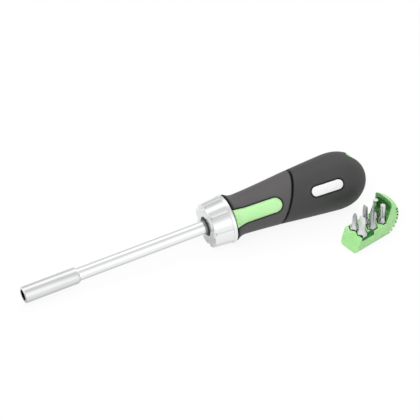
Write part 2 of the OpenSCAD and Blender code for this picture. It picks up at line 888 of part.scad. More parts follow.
// Outline of a badge, drawn with its length along x
module badge_outline(gap) {
    half = (badge_len - badge_w) / 2;
    translate([seam_x + badge_at, 0]) {
        for (s = [-1, 1]) translate([s * half, 0]) circle(badge_w / 2 + gap);
        square([2 * half, badge_w + 2 * gap], center = true);
    }
}

module rear_ring(outer, inner) {
    outline = after(grip_outline(), seam_x - seam_overhang);
    turned(concat(
        drawn_in(outline, outer), dome_outline(outer),
        reversed(dome_outline(inner)), reversed(drawn_in(outline, inner))
    ));
}

module rear_grip() {
    color("dimgray") lying() difference() {
        rear_frame() difference() {
            rear_ring(0, rear_skin);
            intersection() {
                rear_ring(-cut, badge_inset + badge_t + press_gap);
                both_sides(block) badge_outline(window_gap);
            }
            section(slot_rim_x - bond_gap, block) slot_outline(slot_rim + bond_gap);
        }
        skin_before(-seam_gap / 2);
    }
}

module badge(side) {
    color("white") lying() rear_frame() intersection() {
        rear_ring(badge_inset, badge_inset + badge_t);
        translate([0, side > 0 ? block : 0, 0]) rotate([90, 0, 0]) linear_extrude(block) badge_outline(0);
    }
}

module badge_left() {
    badge(-1);
}

module badge_right() {
    badge(1);
}

// Cartridge
module cartridge_envelope() {
    intersection() {
        translate([0, cartridge_w / 2, cartridge_h / 2]) section(0, cartridge_len + cut)
            rounded_rect(cartridge_w, cartridge_h, cartridge_edge_r);
        union() {
            translate([hood_centre_x, cartridge_w / 2, cartridge_h / 2]) sphere(hood_r, $fn = 96);
            translate([-cut, -cut, -cut])
                cube([hood_centre_x + cut, cartridge_w + 2 * cut, cartridge_h + 2 * cut]);
        }
        translate([0, cartridge_w + cut, 0]) rotate([90, 0, 0]) linear_extrude(cartridge_w + 2 * cut) polygon([
            [0, -cut], [cartridge_len + cut, -cut], [cartridge_len + cut, cartridge_h + cut],
            [brow_x, cartridge_h + cut], [brow_x, brow_z], [hood_mouth_x, tray_h], [bow_fit, tray_h]
        ]);
    }
}

function bit_place(i) = [
    first_bit_x + (i % 3) * bit_step,
    cartridge_w / 2 + (i < 3 ? -1 : 1) * row_half,
    pocket_floor
];

module bit_pocket() {
    cylinder(r = pocket_r, h = cartridge_h, $fn = 6);
    translate([0, 0, tray_h - pocket_floor - lead_in_h + lead_over])
        cylinder(r1 = pocket_r, r2 = pocket_r + lead_in, h = lead_in_h, $fn = 6);
}

module grip_groove() {
    side_r = hood_r - groove_side_depth;
    mid_r = hood_r - groove_depth;
    flat_half = cartridge_w * groove_flat_share / 2;
    side_half = cartridge_w / 2 + cut;
    linear_extrude(groove_w, center = true) polygon([
        [side_r, -side_half], [mid_r, -flat_half], [mid_r, flat_half], [side_r, side_half],
        [hood_r + cut, side_half], [hood_r + cut, -side_half]
    ]);
}

module cartridge_tray() {
    color("lightgreen") cartridge_frame() difference() {
        cartridge_envelope();
        intersection() {
            translate([hood_centre_x, cartridge_w / 2, cartridge_h / 2]) sphere(hood_r - hood_t, $fn = 96);
            translate([hood_mouth_x - cut, cartridge_w / 2, cartridge_h / 2]) section(0, cartridge_len)
                rounded_rect(hood_pocket_w, cartridge_h - 2 * hood_t, cartridge_edge_r);
            translate([hood_mouth_x - cut, -cut, tray_h])
                cube([cartridge_len, cartridge_w + 2 * cut, cartridge_h]);
        }
        for (i = [0:5]) translate(bit_place(i)) bit_pocket();
        translate([first_bit_x + notch_start, -cut, tray_h - notch_depth])
            cube([notch_w, cut + notch_reach, notch_depth + cut]);
        for (i = [0:grip_grooves - 1]) translate([hood_centre_x, cartridge_w / 2, cartridge_h / 2])
            rotate([0, -groove_first - i * groove_turn, 0]) grip_groove();
    }
}

// Bits
module bit_blank(tip_r) {
    intersection() {
        cylinder(r = bit_hex_r, h = bit_shank_h, $fn = 6);
        rotate_extrude() polygon([
            [0, 0], [bit_hex_r - bit_base_chamfer, 0], [bit_hex_r + cut, bit_base_chamfer + cut],
            [bit_hex_r + cut, bit_shank_h - bit_base_chamfer - cut],
            [bit_hex_r - bit_base_chamfer, bit_shank_h], [0, bit_shank_h]
        ]);
    }
    translate([0, 0, bit_shank_h - bit_base_chamfer])
        cylinder(r1 = bit_hex_r * cos(30), r2 = tip_r, h = bit_neck_h + bit_base_chamfer);
}

module cross_tip(shank_r, point_r) {
    cone_h = (bit_len - bit_shank_h - bit_neck_h) / 2;
    start = bit_shank_h + bit_neck_h;
    neck_h = bit_len - cone_h - start + bit_base_chamfer;
    flute_share = 0.45;
    flute_turn = 12;
    difference() {
        union() {
            translate([0, 0, start - bit_base_chamfer]) cylinder(r = shank_r, h = neck_h);
            translate([0, 0, bit_len - cone_h]) cylinder(r1 = shank_r, r2 = point_r, h = cone_h);
        }
        for (a = [0:90:270]) rotate([0, 0, a + 45]) translate([shank_r, 0, bit_len - cone_h])
            rotate([0, -flute_turn, 0]) cylinder(r = shank_r * flute_share, h = 3 * cone_h, center = true);
    }
}

module flat_tip(blade_w, blade_t) {
    start = bit_shank_h + bit_neck_h;
    height = bit_len - start;
    root_share = 0.35;
    intersection() {
        translate([0, 0, start - bit_base_chamfer]) cylinder(r = blade_w / 2, h = height + bit_base_chamfer);
        rotate([90, 0, 0]) linear_extrude(blade_w + cut, center = true) polygon([
            [-blade_w / 2, start - bit_base_chamfer], [blade_w / 2, start - bit_base_chamfer],
            [blade_w / 2, start + height * root_share / 2],
            [blade_t / 2, bit_len], [-blade_t / 2, bit_len], [-blade_w / 2, start + height * root_share / 2]
        ]);
    }
}

module keyed_tip(r, points) {
    start = bit_shank_h + bit_neck_h - bit_base_chamfer;
    lobe_share = 0.32;
    translate([0, 0, start]) {
        if (points == 0) cylinder(r = r, h = bit_len - start, $fn = 6);
        else {
            cylinder(r = r * (1 - lobe_share), h = bit_len - start);
            for (i = [0:points - 1]) rotate([0, 0, 360 * i / points])
                translate([r * (1 - lobe_share), 0, 0]) cylinder(r = r * lobe_share, h = bit_len - start);
        }
    }
}

module in_cartridge(i) {
    color("silver") cartridge_frame() translate(bit_place(i)) children();
}

module bit_flat_large() {
    in_cartridge(0) {
        bit_blank(flat_large_w / 2);
        flat_tip(flat_large_w, flat_large_t);
    }
}

module bit_cross_large() {
    in_cartridge(1) {
        bit_blank(cross_large_r);
        cross_tip(cross_large_r, cross_point_r);
    }
}

module bit_star() {
    in_cartridge(2) {
        bit_blank(star_tip_r + bit_shoulder);
        keyed_tip(star_tip_r, 6);
    }
}

module bit_cross_small() {
    in_cartridge(3) {
        bit_blank(cross_small_r);
        cross_tip(cross_small_r, cross_point_r);
    }
}

module bit_flat_small() {
    in_cartridge(4) {
        bit_blank(flat_small_w / 2);
        flat_tip(flat_small_w, flat_small_t);
    }
}

module bit_hex() {
    in_cartridge(5) {
        bit_blank(hex_tip_r + bit_shoulder);
        keyed_tip(hex_tip_r, 0);
    }
}

bit_sleeve();
socket_magnet();
drive_shaft();
ratchet_gear();
gear_key();
shaft_clip();
selector_collar();
rocker_pawl();
ratchet_housing();
pawl_pin();
collar_clip();
shaft_seal();
selector_ball();
selector_spring();
thrust_ball();
thrust_plug();
housing_pin();
front_core_left();
front_core_right();
front_grip();
swivel_bolt();
swivel_washer();
swivel_nut();
swivel_spring();
swivel_ball();
swivel_ball_spring();
rear_core_left();
rear_core_right();
rear_grip();
badge_left();
badge_right();
cartridge_tray();
bit_cross_large();
bit_cross_small();
bit_flat_large();
bit_flat_small();
bit_hex();
bit_star();
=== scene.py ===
"""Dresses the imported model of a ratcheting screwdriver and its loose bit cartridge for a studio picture.

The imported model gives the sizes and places. Each sub-assembly is a class that builds smooth surfaces
around it, in millimetres along the tool's own axes, and gives every surface a procedural finish.
"""

import json
import logging
import math
from dataclasses import dataclass, field
from enum import Enum
from typing import Callable, Union

import bmesh
import bpy
import numpy as np
from mathutils import Matrix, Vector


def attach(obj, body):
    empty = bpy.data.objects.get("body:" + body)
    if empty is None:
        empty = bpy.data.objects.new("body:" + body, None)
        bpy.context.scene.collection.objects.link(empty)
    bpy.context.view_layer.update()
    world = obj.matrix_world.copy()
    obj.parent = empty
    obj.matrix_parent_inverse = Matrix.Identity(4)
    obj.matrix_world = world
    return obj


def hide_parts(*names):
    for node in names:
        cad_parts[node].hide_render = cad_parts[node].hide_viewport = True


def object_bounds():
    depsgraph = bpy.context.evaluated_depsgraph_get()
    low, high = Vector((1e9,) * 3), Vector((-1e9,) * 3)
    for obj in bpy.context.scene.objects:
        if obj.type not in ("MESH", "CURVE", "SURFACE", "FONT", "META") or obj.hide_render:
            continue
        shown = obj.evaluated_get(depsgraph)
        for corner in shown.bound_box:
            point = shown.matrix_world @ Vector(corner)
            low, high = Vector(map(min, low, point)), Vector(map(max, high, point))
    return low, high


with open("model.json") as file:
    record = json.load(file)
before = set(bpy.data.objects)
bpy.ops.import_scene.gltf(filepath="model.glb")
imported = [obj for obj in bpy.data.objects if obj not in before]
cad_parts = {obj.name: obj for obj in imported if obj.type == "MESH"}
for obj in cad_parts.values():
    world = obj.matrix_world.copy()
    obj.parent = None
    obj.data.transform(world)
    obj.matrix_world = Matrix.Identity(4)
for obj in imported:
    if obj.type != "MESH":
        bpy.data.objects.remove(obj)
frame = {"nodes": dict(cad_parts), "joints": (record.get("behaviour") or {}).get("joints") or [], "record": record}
cad_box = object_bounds()

MM = 0.001
TURN = 2 * math.pi
QUARTER = math.pi / 2
WELD_M = 2e-6
EMPTY_M = 1e-7
TINY = 1e-9
NOISE_LOW, NOISE_HIGH = 0.3, 0.7
FLAT_DEG = 0.5
MEETINGS = 8
HALVINGS = 30
# The mesh attribute that darkens a colour towards its finish's painted shade tone, from 0 to 1.
SHADE = "shade"
WHITE = (1.0, 1.0, 1.0, 1.0)
LOG = logging.getLogger("screwdriver")
Array = np.ndarray


# Shader expressions

def operator(operation: str, swapped: bool = False) -> Callable[["Wire", "Value"], "Wire"]:
    """Makes a method that puts a wire and another value into a Math node.

    Args:
        operation: the node's operation.
        swapped: whether the wire is the lower input.

    Returns:
        The method.
    """
    def method(wire: "Wire", other: "Value") -> "Wire":
        """The node's value."""
        upper, lower = (other, wire) if swapped else (wire, other)
        return wire.bench.node("ShaderNodeMath", {"operation": operation}, {0: upper, 1: lower})

    return method


class Wire:
    """A number or colour on its way through a material's nodes, with Python's operators."""

    def __init__(self, bench: "Bench", socket: bpy.types.NodeSocket) -> None:
        """Wraps an output socket of a bench's tree."""
        self.bench = bench
        self.socket = socket

    __add__, __radd__ = operator("ADD"), operator("ADD", True)
    __sub__, __rsub__ = operator("SUBTRACT"), operator("SUBTRACT", True)
    __mul__, __rmul__ = operator("MULTIPLY"), operator("MULTIPLY", True)
    __or__, __ror__ = operator("MAXIMUM"), operator("MAXIMUM", True)


Value = Union[Wire, float, tuple]


class Bench:
    """A node tree that is filled node by node and ends in one output."""

    def __init__(self, tree: bpy.types.NodeTree, end: str) -> None:
        """Clears the tree.

        Args:
            tree: the node tree.
            end: type of its output node.
        """
        self.tree = tree
        self.tree.nodes.clear()
        self.output = self.tree.nodes.new(end)

    def raw(self, kind: str, settings: dict, values: dict) -> bpy.types.Node:
        """Adds one node: its settings are set first, then the values or links of its inputs.

        Args:
            kind: the node's type.
            settings: attributes of the node; a ramp's stops are (place, grey) pairs under "stops".
            values: what goes into its input sockets, by name or number.

        Returns:
            The node.
        """
        made = self.tree.nodes.new(kind)
        for key, value in settings.items():
            if key == "stops":
                stops = made.color_ramp.elements
                while len(stops) < len(value):
                    stops.new(1.0)
                for stop, (place, grey) in zip(stops, value):
                    stop.position = place
                    stop.color = (grey, grey, grey, 1.0)
            else:
                setattr(made, key, value)
        for key, value in values.items():
            if isinstance(value, Wire):
                self.tree.links.new(value.socket, made.inputs[key])
            else:
                made.inputs[key].default_value = value
        return made

    def node(self, kind: str, settings: dict, values: dict, out: Union[int, str] = 0) -> Wire:
        """Adds one node and gives one of its outputs, by name or number."""
        return Wire(self, self.raw(kind, settings, values).outputs[out])

    def finish(self, shader: Wire) -> None:
        """Links a shader to the output."""
        self.tree.links.new(shader.socket, self.output.inputs["Surface"])

    def finish_by_ray(self, plain: Wire, mirrored: Wire, direct: Wire, share: float = 1.0) -> None:
        """Ends the tree with a shader for each kind of ray.

        Args:
            plain: what lights the object.
            mirrored: what a reflection or glass shows.
            direct: what the camera sees.
            share: how much of it the camera sees; the rest is plain.
        """
        path = self.raw("ShaderNodeLightPath", {}, {})
        camera, glossy, through = (
            Wire(self, path.outputs[f"Is {kind} Ray"]) for kind in ("Camera", "Glossy", "Transmission"))
        other = self.node("ShaderNodeMixShader", {}, {0: glossy | through, 1: plain, 2: mirrored})
        self.finish(self.node("ShaderNodeMixShader", {}, {0: camera * share, 1: other, 2: direct}))


class Paint(Bench):
    """The node tree of one material, with a surface shader of its own."""

    def __init__(self, name: str) -> None:
        """Starts an empty material.

        Args:
            name: the material's name.
        """
        self.material = bpy.data.materials.new(name)
        self.material.use_nodes = True
        super().__init__(self.material.node_tree, "ShaderNodeOutputMaterial")

    def shade(self) -> Wire:
        """How far a point's colour is darkened towards the painted shade tone, from 0 to 1, as its own mesh tells:
        0 where it tells nothing.
        """
        return self.node("ShaderNodeAttribute", {"attribute_name": SHADE}, {}, "Fac")

    def place(self, stretch: tuple = (1.0, 1.0, 1.0)) -> Wire:
        """Object coordinates, stretched by factors along the three axes."""
        here = self.node("ShaderNodeTexCoord", {}, {}, "Object")
        return self.node("ShaderNodeMapping", {}, {"Vector": here, "Scale": stretch})

    def noise(self, where: Wire, per_metre: float, detail: float = 3.0, rough: float = 0.5) -> Wire:
        """A noise from 0 to 1, by its cells in a metre, its octaves and the share of the finer ones."""
        return self.node("ShaderNodeTexNoise", {}, {
            "Vector": where, "Scale": per_metre, "Detail": detail, "Roughness": rough})

    def spread(self, value: Wire, low: float, high: float) -> Wire:
        """A noise whose usual range is stretched to run from low to high and held there."""
        return self.node("ShaderNodeMapRange", {"clamp": True}, {
            "Value": value, "From Min": NOISE_LOW, "From Max": NOISE_HIGH, "To Min": low, "To Max": high})

    def mixed(self, share: Value, first: Value, second: Value) -> Wire:
        """A colour between two colours, by the share of the second."""
        first, second = (c if isinstance(c, Wire) else (*c, 1.0) for c in (first, second))
        return self.node("ShaderNodeMix", {"data_type": "RGBA"}, {0: share, 6: first, 7: second}, 2)

    def bump(self, height: Wire, depth_mm: float) -> Wire:
        """A surface direction bent by a height from 0 to 1, where 1 is the depth."""
        return self.node("ShaderNodeBump", {}, {"Height": height, "Distance": depth_mm * MM, "Strength": 1.0})


# Finishes

@dataclass(frozen=True)
class Finish:
    """Two tones in patches under a fine grain. The gloss varies with the patches and with the grain."""
    name: str
    color: tuple
    second: tuple
    roughness: float
    # The tone that a mesh's shade darkens both tones towards: painted shade in recesses, gaps and hollows.
    painted_recess_shade: tuple
    patchy: float
    grainy: float
    grain_mm: float

    def surface(self, paint: Paint, tone: Wire, patches: Wire, grain: Wire,
                extra: dict) -> bpy.types.Material:
        """Ends a material with a Principled shader.

        Args:
            paint: the material.
            tone: the share of the second tone.
            patches: the slow noise.
            grain: the fine noise, which also bends the surface.
            extra: what goes into other sockets.

        Returns:
            The material.
        """
        low, high = self.roughness - self.patchy, self.roughness + self.patchy
        paint.finish(paint.node("ShaderNodeBsdfPrincipled", {}, {
            # Painted shade: the mesh's own shade mixes the colour towards the painted shade tone.
            "Base Color": paint.mixed(paint.shade(), paint.mixed(tone, self.color, self.second), self.painted_recess_shade),
            "Roughness": paint.spread(patches, low, high) + paint.spread(grain, -self.grainy, self.grainy),
            "Normal": paint.bump(grain, self.grain_mm),
            **extra,
        }))
        return paint.material


@dataclass(frozen=True)
class Metal(Finish):
    """Plated or bare steel with fine marks of brushing and handling."""
    painted_recess_shade: tuple = (0.12, 0.12, 0.13)
    patchy: float = 0.025
    grainy: float = 0.05
    grain_mm: float = 0.004
    stretch: tuple = (0.05, 1.0, 1.0)
    brush_per_m: float = 2400.0
    cloud_per_m: float = 60.0

    def paint(self) -> bpy.types.Material:
        """Noise stretched along the tool gives brush marks; a slow noise gives patches of wear.

        Returns:
            The material.
        """
        paint = Paint(self.name)
        brush = paint.noise(paint.place(self.stretch), self.brush_per_m, detail=2.0)
        cloud = paint.noise(paint.place(), self.cloud_per_m, detail=2.0)
        return self.surface(paint, paint.spread(cloud, 0.0, 1.0), cloud, brush, {"Metallic": 1.0})


@dataclass(frozen=True)
class SoftTouch(Finish):
    """Moulded rubber with a fine matt grain and a trace of dust."""
    painted_recess_shade: tuple = (0.006, 0.006, 0.006)
    patchy: float = 0.04
    grainy: float = 0.05
    grain_mm: float = 0.035
    specular: float = 0.4
    grain_share: float = 0.4
    grain_per_m: float = 1500.0
    cloud_per_m: float = 45.0

    def paint(self) -> bpy.types.Material:
        """A fine noise makes the grain's bumps, and with a slow one lightens the colour in patches.

        Returns:
            The material.
        """
        paint = Paint(self.name)
        grain = paint.noise(paint.place(), self.grain_per_m, rough=0.6)
        cloud = paint.noise(paint.place(), self.cloud_per_m)
        tone = paint.spread(cloud, 0.0, 1.0 - self.grain_share) + paint.spread(grain, 0.0, self.grain_share)
        return self.surface(paint, tone, cloud, grain, {"Specular IOR Level": self.specular})


@dataclass(frozen=True)
class Moulded(Finish):
    """Smooth injection-moulded plastic with slight flow marks under a gloss."""
    painted_recess_shade: tuple = (0.02, 0.05, 0.015)
    patchy: float = 0.04
    grainy: float = 0.02
    grain_mm: float = 0.004
    through: float = 0.0
    through_m: float = 0.002
    through_rgb: tuple = (1.0, 1.6, 0.7)
    stretch: tuple = (1.0, 1.0, 2.5)
    flow_per_m: float = 50.0
    fine_per_m: float = 900.0

    def paint(self) -> bpy.types.Material:
        """A slow noise shifts the colour and the gloss; a fine one gives the mould's texture.

        Returns:
            The material.
        """
        paint = Paint(self.name)
        flow = paint.noise(paint.place(self.stretch), self.flow_per_m)
        fine = paint.noise(paint.place(), self.fine_per_m, detail=2.0)
        return self.surface(paint, paint.spread(flow, 0.0, 1.0), flow, fine, {
            "Subsurface Weight": self.through,
            "Subsurface Radius": self.through_rgb,
            "Subsurface Scale": self.through_m,
        })


class Slot(Enum):
    """The record's material slots."""
    STEEL = "steel"
    CHROME = "chrome"
    HARDENED = "hardened_steel"
    CAST = "cast_steel"
    DARK = "dark_steel"
    SPRING = "spring_steel"
    SEAL = "seal_rubber"
    GREEN = "green_plastic"
    CARTRIDGE = "cartridge_plastic"
    FRONT_GRIP = "front_grip_rubber"
    REAR_GRIP = "rear_grip_rubber"
    BADGE = "badge_plastic"
    BIT = "bit_steel"


# Each finish's fifth colour, or its class's default, is the painted shade tone that a mesh's shade darkens
# towards.
FINISHES = {
    Slot.STEEL: Metal("steel", (0.965, 0.97, 0.975), (0.93, 0.935, 0.94), 0.18, (0.015, 0.015, 0.016)),
    Slot.CHROME: Metal(
        "chrome", (0.95, 0.955, 0.96), (0.92, 0.925, 0.93), 0.2, patchy=0.015, grainy=0.03, grain_mm=0.002),
    Slot.HARDENED: Metal("hardened_steel", (0.52, 0.53, 0.55), (0.45, 0.45, 0.46), 0.3),
    Slot.CAST: Metal(
        "cast_steel", (0.42, 0.43, 0.45), (0.36, 0.37, 0.38), 0.42, patchy=0.04, grainy=0.08, grain_mm=0.02,
        stretch=(1.0, 1.0, 1.0)),
    Slot.DARK: Metal("dark_steel", (0.05, 0.05, 0.055), (0.08, 0.08, 0.085), 0.38),
    Slot.SPRING: Metal("spring_steel", (0.38, 0.39, 0.41), (0.33, 0.33, 0.34), 0.3),
    Slot.SEAL: SoftTouch("seal_rubber", (0.02, 0.02, 0.022), (0.035, 0.035, 0.036), 0.5),
    Slot.GREEN: Moulded("green_plastic", (0.465, 0.78, 0.385), (0.41, 0.74, 0.33), 0.3, through=0.15),
    Slot.CARTRIDGE: Moulded(
        "cartridge_plastic", (0.39, 0.74, 0.31), (0.345, 0.70, 0.27), 0.34, (0.008, 0.17, 0.025),
        through=0.3),
    Slot.FRONT_GRIP: SoftTouch("front_grip_rubber", (0.068, 0.0645, 0.066), (0.082, 0.0775, 0.079), 0.56),
    Slot.REAR_GRIP: SoftTouch("rear_grip_rubber", (0.037, 0.0365, 0.037), (0.047, 0.0465, 0.047), 0.55),
    Slot.BADGE: Moulded("badge_plastic", (0.78, 0.78, 0.78), (0.75, 0.75, 0.75), 0.28),
    Slot.BIT: Metal(
        "bit_steel", (0.86, 0.87, 0.88), (0.42, 0.42, 0.43), 0.2, patchy=0.04, grainy=0.08, grain_mm=0.006,
        stretch=(1.0, 1.0, 0.05)),
}


class Workshop:
    """Makes the finishes once and hands them out by slot."""

    def __init__(self) -> None:
        """Paints every finish."""
        self.materials = {slot: finish.paint() for slot, finish in FINISHES.items()}

    def dress(self, piece: bpy.types.Object, slot: Slot) -> None:
        """Gives a piece the finish of a slot alone."""
        piece.data.materials.clear()
        piece.data.materials.append(self.materials[slot])

    def dress_frame(self) -> None:
        """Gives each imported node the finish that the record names."""
        for row in frame["record"]["subparts"]:
            self.dress(frame["nodes"][row["node"]], Slot(row["material_slot"]))

    def hand_in(self, piece: bpy.types.Object, body: str, slot: Slot, *nodes: str) -> None:
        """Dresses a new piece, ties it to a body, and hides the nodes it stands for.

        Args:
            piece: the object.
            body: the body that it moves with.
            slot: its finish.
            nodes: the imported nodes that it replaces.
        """
        self.dress(piece, slot)
        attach(piece, body)
        if nodes:
            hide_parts(*nodes)
        LOG.info("%s: %d faces on %s", piece.name, len(piece.data.polygons), body)


# Surfaces

@dataclass(frozen=True)
class Seam:
    """The slanted plane on which the handle swivels."""
    centre: Array
    normal: Array


@dataclass(frozen=True)
class Axes:
    """A frame of axes: millimetres in its own directions go in, metres of the model's frame come out."""
    origin: Array
    along: Array
    side: Array
    up: Array

    def place(self, x: Array, y: Array, z: Array) -> Array:
        """Origin plus x, y and z steps along the axes.

        Args:
            x: millimetres along.
            y: millimetres to the side.
            z: millimetres up.

        Returns:
            Points in metres, with the three coordinates last.
        """
        x, y, z = np.broadcast_arrays(x, y, z)
        steps = x[..., None] * self.along + y[..., None] * self.side + z[..., None] * self.up
        return self.origin + steps * MM

    def ringed(self, x: Array, r: Array, a: Array) -> Array:
        """Points at a place along, a radius and an angle round: y = -r cos a, z = r sin a."""
        return self.place(x, -r * np.cos(a), r * np.sin(a))

    def tilted(self, pivot_x: float, degrees: float, drop: float) -> "Axes":
        """These axes turned about the side axis at a place along them, and let down.

        Args:
            pivot_x: the place that the turn keeps.
            degrees: the turn, which takes the far end down.
            drop: how far all of it goes down.

        Returns:
            The new axes.
        """
        c, s = math.cos(math.radians(degrees)), math.sin(math.radians(degrees))
        along = c * self.along - s * self.up
        up = s * self.along + c * self.up
        origin = self.origin + (pivot_x * self.along - drop * self.up - pivot_x * along) * MM
        return Axes(origin, along, self.side, up)

    def reach(self, r: Array, a: Array, seam: Seam, offset: float) -> Array:
        """How far along a line runs until it meets a plane beside the seam.

        Args:
            r: the line's distance from the axes.
            a: its angle round them.
            seam: the seam's plane.
            offset: distance of the plane behind the seam.

        Returns:
            Millimetres along.
        """
        start = self.ringed(0.0, r, a)
        left = (seam.centre - start) @ seam.normal / MM + offset
        return left / (self.along @ seam.normal)


def named(rows: list, name: str) -> dict:
    """The row of that name."""
    return next(row for row in rows if row["name"] == name)


def tool_axes() -> tuple[Axes, Seam]:
    """The tool's own axes and its seam, read from the record: the socket's axis gives its length,
    and the part of the swivel's axis square to it points down to the pistol side.

    Returns:
        The axes and the seam.
    """
    socket = named(frame["record"]["mounts"], "bit_socket")
    swivel = named(frame["joints"], "handle_swivel")
    along, normal = (-np.array(row["axis"], float) for row in (socket, swivel))
    along /= np.linalg.norm(along)
    normal /= np.linalg.norm(normal)
    down = normal - (normal @ along) * along
    up = -down / np.linalg.norm(down)
    origin, centre = (np.array(row["pos_m"], float) for row in (socket, swivel))
    return Axes(origin, along, np.cross(up, along), up), Seam(centre, normal)


def smooth_step(t: Array) -> Array:
    """0 below 0, 1 above 1, and 3t² - 2t³ between."""
    t = np.clip(t, 0.0, 1.0)
    return t * t * (3.0 - 2.0 * t)


def soft_min(a: Array, b: Array, width: float) -> Array:
    """The lower of two, blended over a width where they are close."""
    h = np.clip(0.5 + 0.5 * (b - a) / width, 0.0, 1.0)
    return b + (a - b) * h - width * h * (1.0 - h)


def soft_max(a: Array, b: Array, width: float) -> Array:
    """The higher of two, blended over a width where they are close."""
    return -soft_min(-a, -b, width)


def hermite(a: tuple, b: tuple, x: Array) -> Array:
    """The cubic between two stations that keeps their radii and slopes.

    Args:
        a: the first station's place, radius and slope.
        b: the second station's.
        x: places.

    Returns:
        The radii there.
    """
    span = b[0] - a[0]
    t = (x - a[0]) / span
    rise = t * t * (3.0 - 2.0 * t)
    bend = a[2] * t * (1.0 - t) ** 2 - b[2] * t * t * (1.0 - t)
    return a[1] + (b[1] - a[1]) * rise + span * bend


def add_object(name: str, data: bpy.types.ID) -> bpy.types.Object:
    """Makes an object and links it to the scene.

    Args:
        name: its name.
        data: its mesh, camera or lamp.

    Returns:
        The object.
    """
    made = bpy.data.objects.new(name, data)
    bpy.context.scene.collection.objects.link(made)
    return made


def welded(mesh: bpy.types.Mesh, *steps: Callable[[bmesh.types.BMesh], object]) -> None:
    """Merges a mesh's doubles, then takes further steps on it.

    Args:
        mesh: the mesh.
        steps: what is then done with its editable form.
    """
    work = bmesh.new()
    work.from_mesh(mesh)
    bmesh.ops.remove_doubles(work, verts=work.verts, dist=WELD_M)
    for step in steps:
        step(work)
    work.to_mesh(mesh)
    work.free()


def store_shade(mesh: bpy.types.Mesh, domain: str, shade: Array) -> None:
    """Keeps in a mesh how far each of its points or faces is darkened towards the painted shade tone."""
    values = shade.astype(np.float32).ravel()
    mesh.attributes.new(SHADE, "FLOAT", domain).data.foreach_set("value", values)


def smooth_object(name: str, mesh: bpy.types.Mesh, sharp_deg: float) -> bpy.types.Object:
    """Shades a mesh smooth, apart from edges that bend by more than an angle, and links it.

    Args:
        name: the object's name.
        mesh: its mesh.
        sharp_deg: the angle.

    Returns:
        The object.
    """
    mesh.shade_smooth()
    mesh.set_sharp_from_angle(angle=math.radians(sharp_deg))
    return add_object(name, mesh)


class Lattice:
    """A surface as a grid of points, row by row, made into a closed mesh."""

    def __init__(self, points: Array, rows_close: bool, shade: Union[Array, float] = 0.0) -> None:
        """Keeps the grid. Its columns always close into rings.

        Args:
            points: (rows, columns, 3) in metres.
            rows_close: whether the last row joins the first, as round a torus.
            shade: (rows, columns) of how far each point is darkened towards the painted shade tone, from 0 to 1.
        """
        self.points = points
        self.rows_close = rows_close
        self.shade = np.broadcast_to(shade, points.shape[:2])

    def faces(self) -> Array:
        """Four corners of each cell: its own point, the next column, the next row's two.

        Returns:
            Numbers of points, (cells, 4).
        """
        rows, columns = self.points.shape[:2]
        last = rows if self.rows_close else rows - 1
        i, j = np.meshgrid(np.arange(last) * columns, np.arange(columns), indexing="ij")
        k, n = (i + columns) % (rows * columns), (j + 1) % columns
        return np.stack([i + j, i + n, k + n, k + j], -1).reshape(-1, 4)

    def build(self, name: str, sharp_deg: float = 40.0) -> bpy.types.Object:
        """Makes the mesh, closes its seams and poles, and turns its faces outwards.

        Args:
            name: the object's name.
            sharp_deg: edges that bend by more stay sharp in the shading.

        Returns:
            The object.
        """
        mesh = bpy.data.meshes.new(name)
        faces = self.faces()
        vertices = self.points.reshape(-1, 3)
        mesh.vertices.add(len(vertices))
        mesh.vertices.foreach_set("co", vertices.astype(np.float32).ravel())
        mesh.loops.add(faces.size)
        mesh.loops.foreach_set("vertex_index", faces.astype(np.int32).ravel())
        mesh.polygons.add(len(faces))
        mesh.polygons.foreach_set("loop_start", np.arange(0, faces.size, 4, dtype=np.int32))
        mesh.update(calc_edges=True)
        store_shade(mesh, "POINT", self.shade)
        welded(
            mesh,
            lambda work: bmesh.ops.dissolve_degenerate(work, dist=EMPTY_M, edges=work.edges),
            lambda work: bmesh.ops.recalc_face_normals(work, faces=work.faces))
        return smooth_object(name, mesh, sharp_deg)


def rounded_copy(node: str, name: str, bevel_mm: float, sharp_deg: float = 40.0,
                 shade: Union[Callable[[Array, Array], Array], None] = None) -> bpy.types.Object:
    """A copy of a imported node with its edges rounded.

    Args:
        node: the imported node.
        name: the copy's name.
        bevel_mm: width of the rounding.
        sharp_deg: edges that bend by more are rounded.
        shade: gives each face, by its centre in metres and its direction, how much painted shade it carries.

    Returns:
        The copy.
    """
    mesh = frame["nodes"][node].data.copy()
    mesh.name = name
    welded(mesh, lambda work: bmesh.ops.dissolve_limit(
        work, angle_limit=math.radians(FLAT_DEG), verts=work.verts, edges=work.edges, delimit={"NORMAL"}))
    if shade is not None:
        centres, ways = (np.empty(3 * len(mesh.polygons), np.float32) for _ in range(2))
        mesh.polygons.foreach_get("center", centres)
        mesh.polygons.foreach_get("normal", ways)
        store_shade(mesh, "FACE", shade(centres.reshape(-1, 3), ways.reshape(-1, 3)))
    piece = smooth_object(name, mesh, sharp_deg)
    bevel = piece.modifiers.new("edges", "BEVEL")
    bevel.width = bevel_mm * MM
    bevel.segments = 2
    bevel.limit_method = "ANGLE"
    bevel.angle_limit = math.radians(sharp_deg)
    bevel.harden_normals = True
    return piece


def ring_angles(count: int) -> Array:
    """Evenly spaced angles of one turn, in radians."""
    return np.arange(count) * TURN / count


def carried(profile: list, a: Array) -> tuple[Array, Array]:
    """A profile of (place, radius) as rows of places and of radii, with a column for each angle."""
    x, r = np.array(profile, float).T[..., None] + 0 * a
    return x, r


def revolved(axes: Axes, profile: list, columns: int = 96, closed: bool = True) -> Lattice:
    """A profile of (place, radius) carried round the axes' own length.

    Args:
        axes: the axes.
        profile: the profile's points.
        columns: points in a ring.
        closed: whether the profile is a loop.

    Returns:
        The surface.
    """
    a = ring_angles(columns)
    x, r = carried(profile, a)
    return Lattice(axes.ringed(x, r, a), closed)


# Sub-assemblies

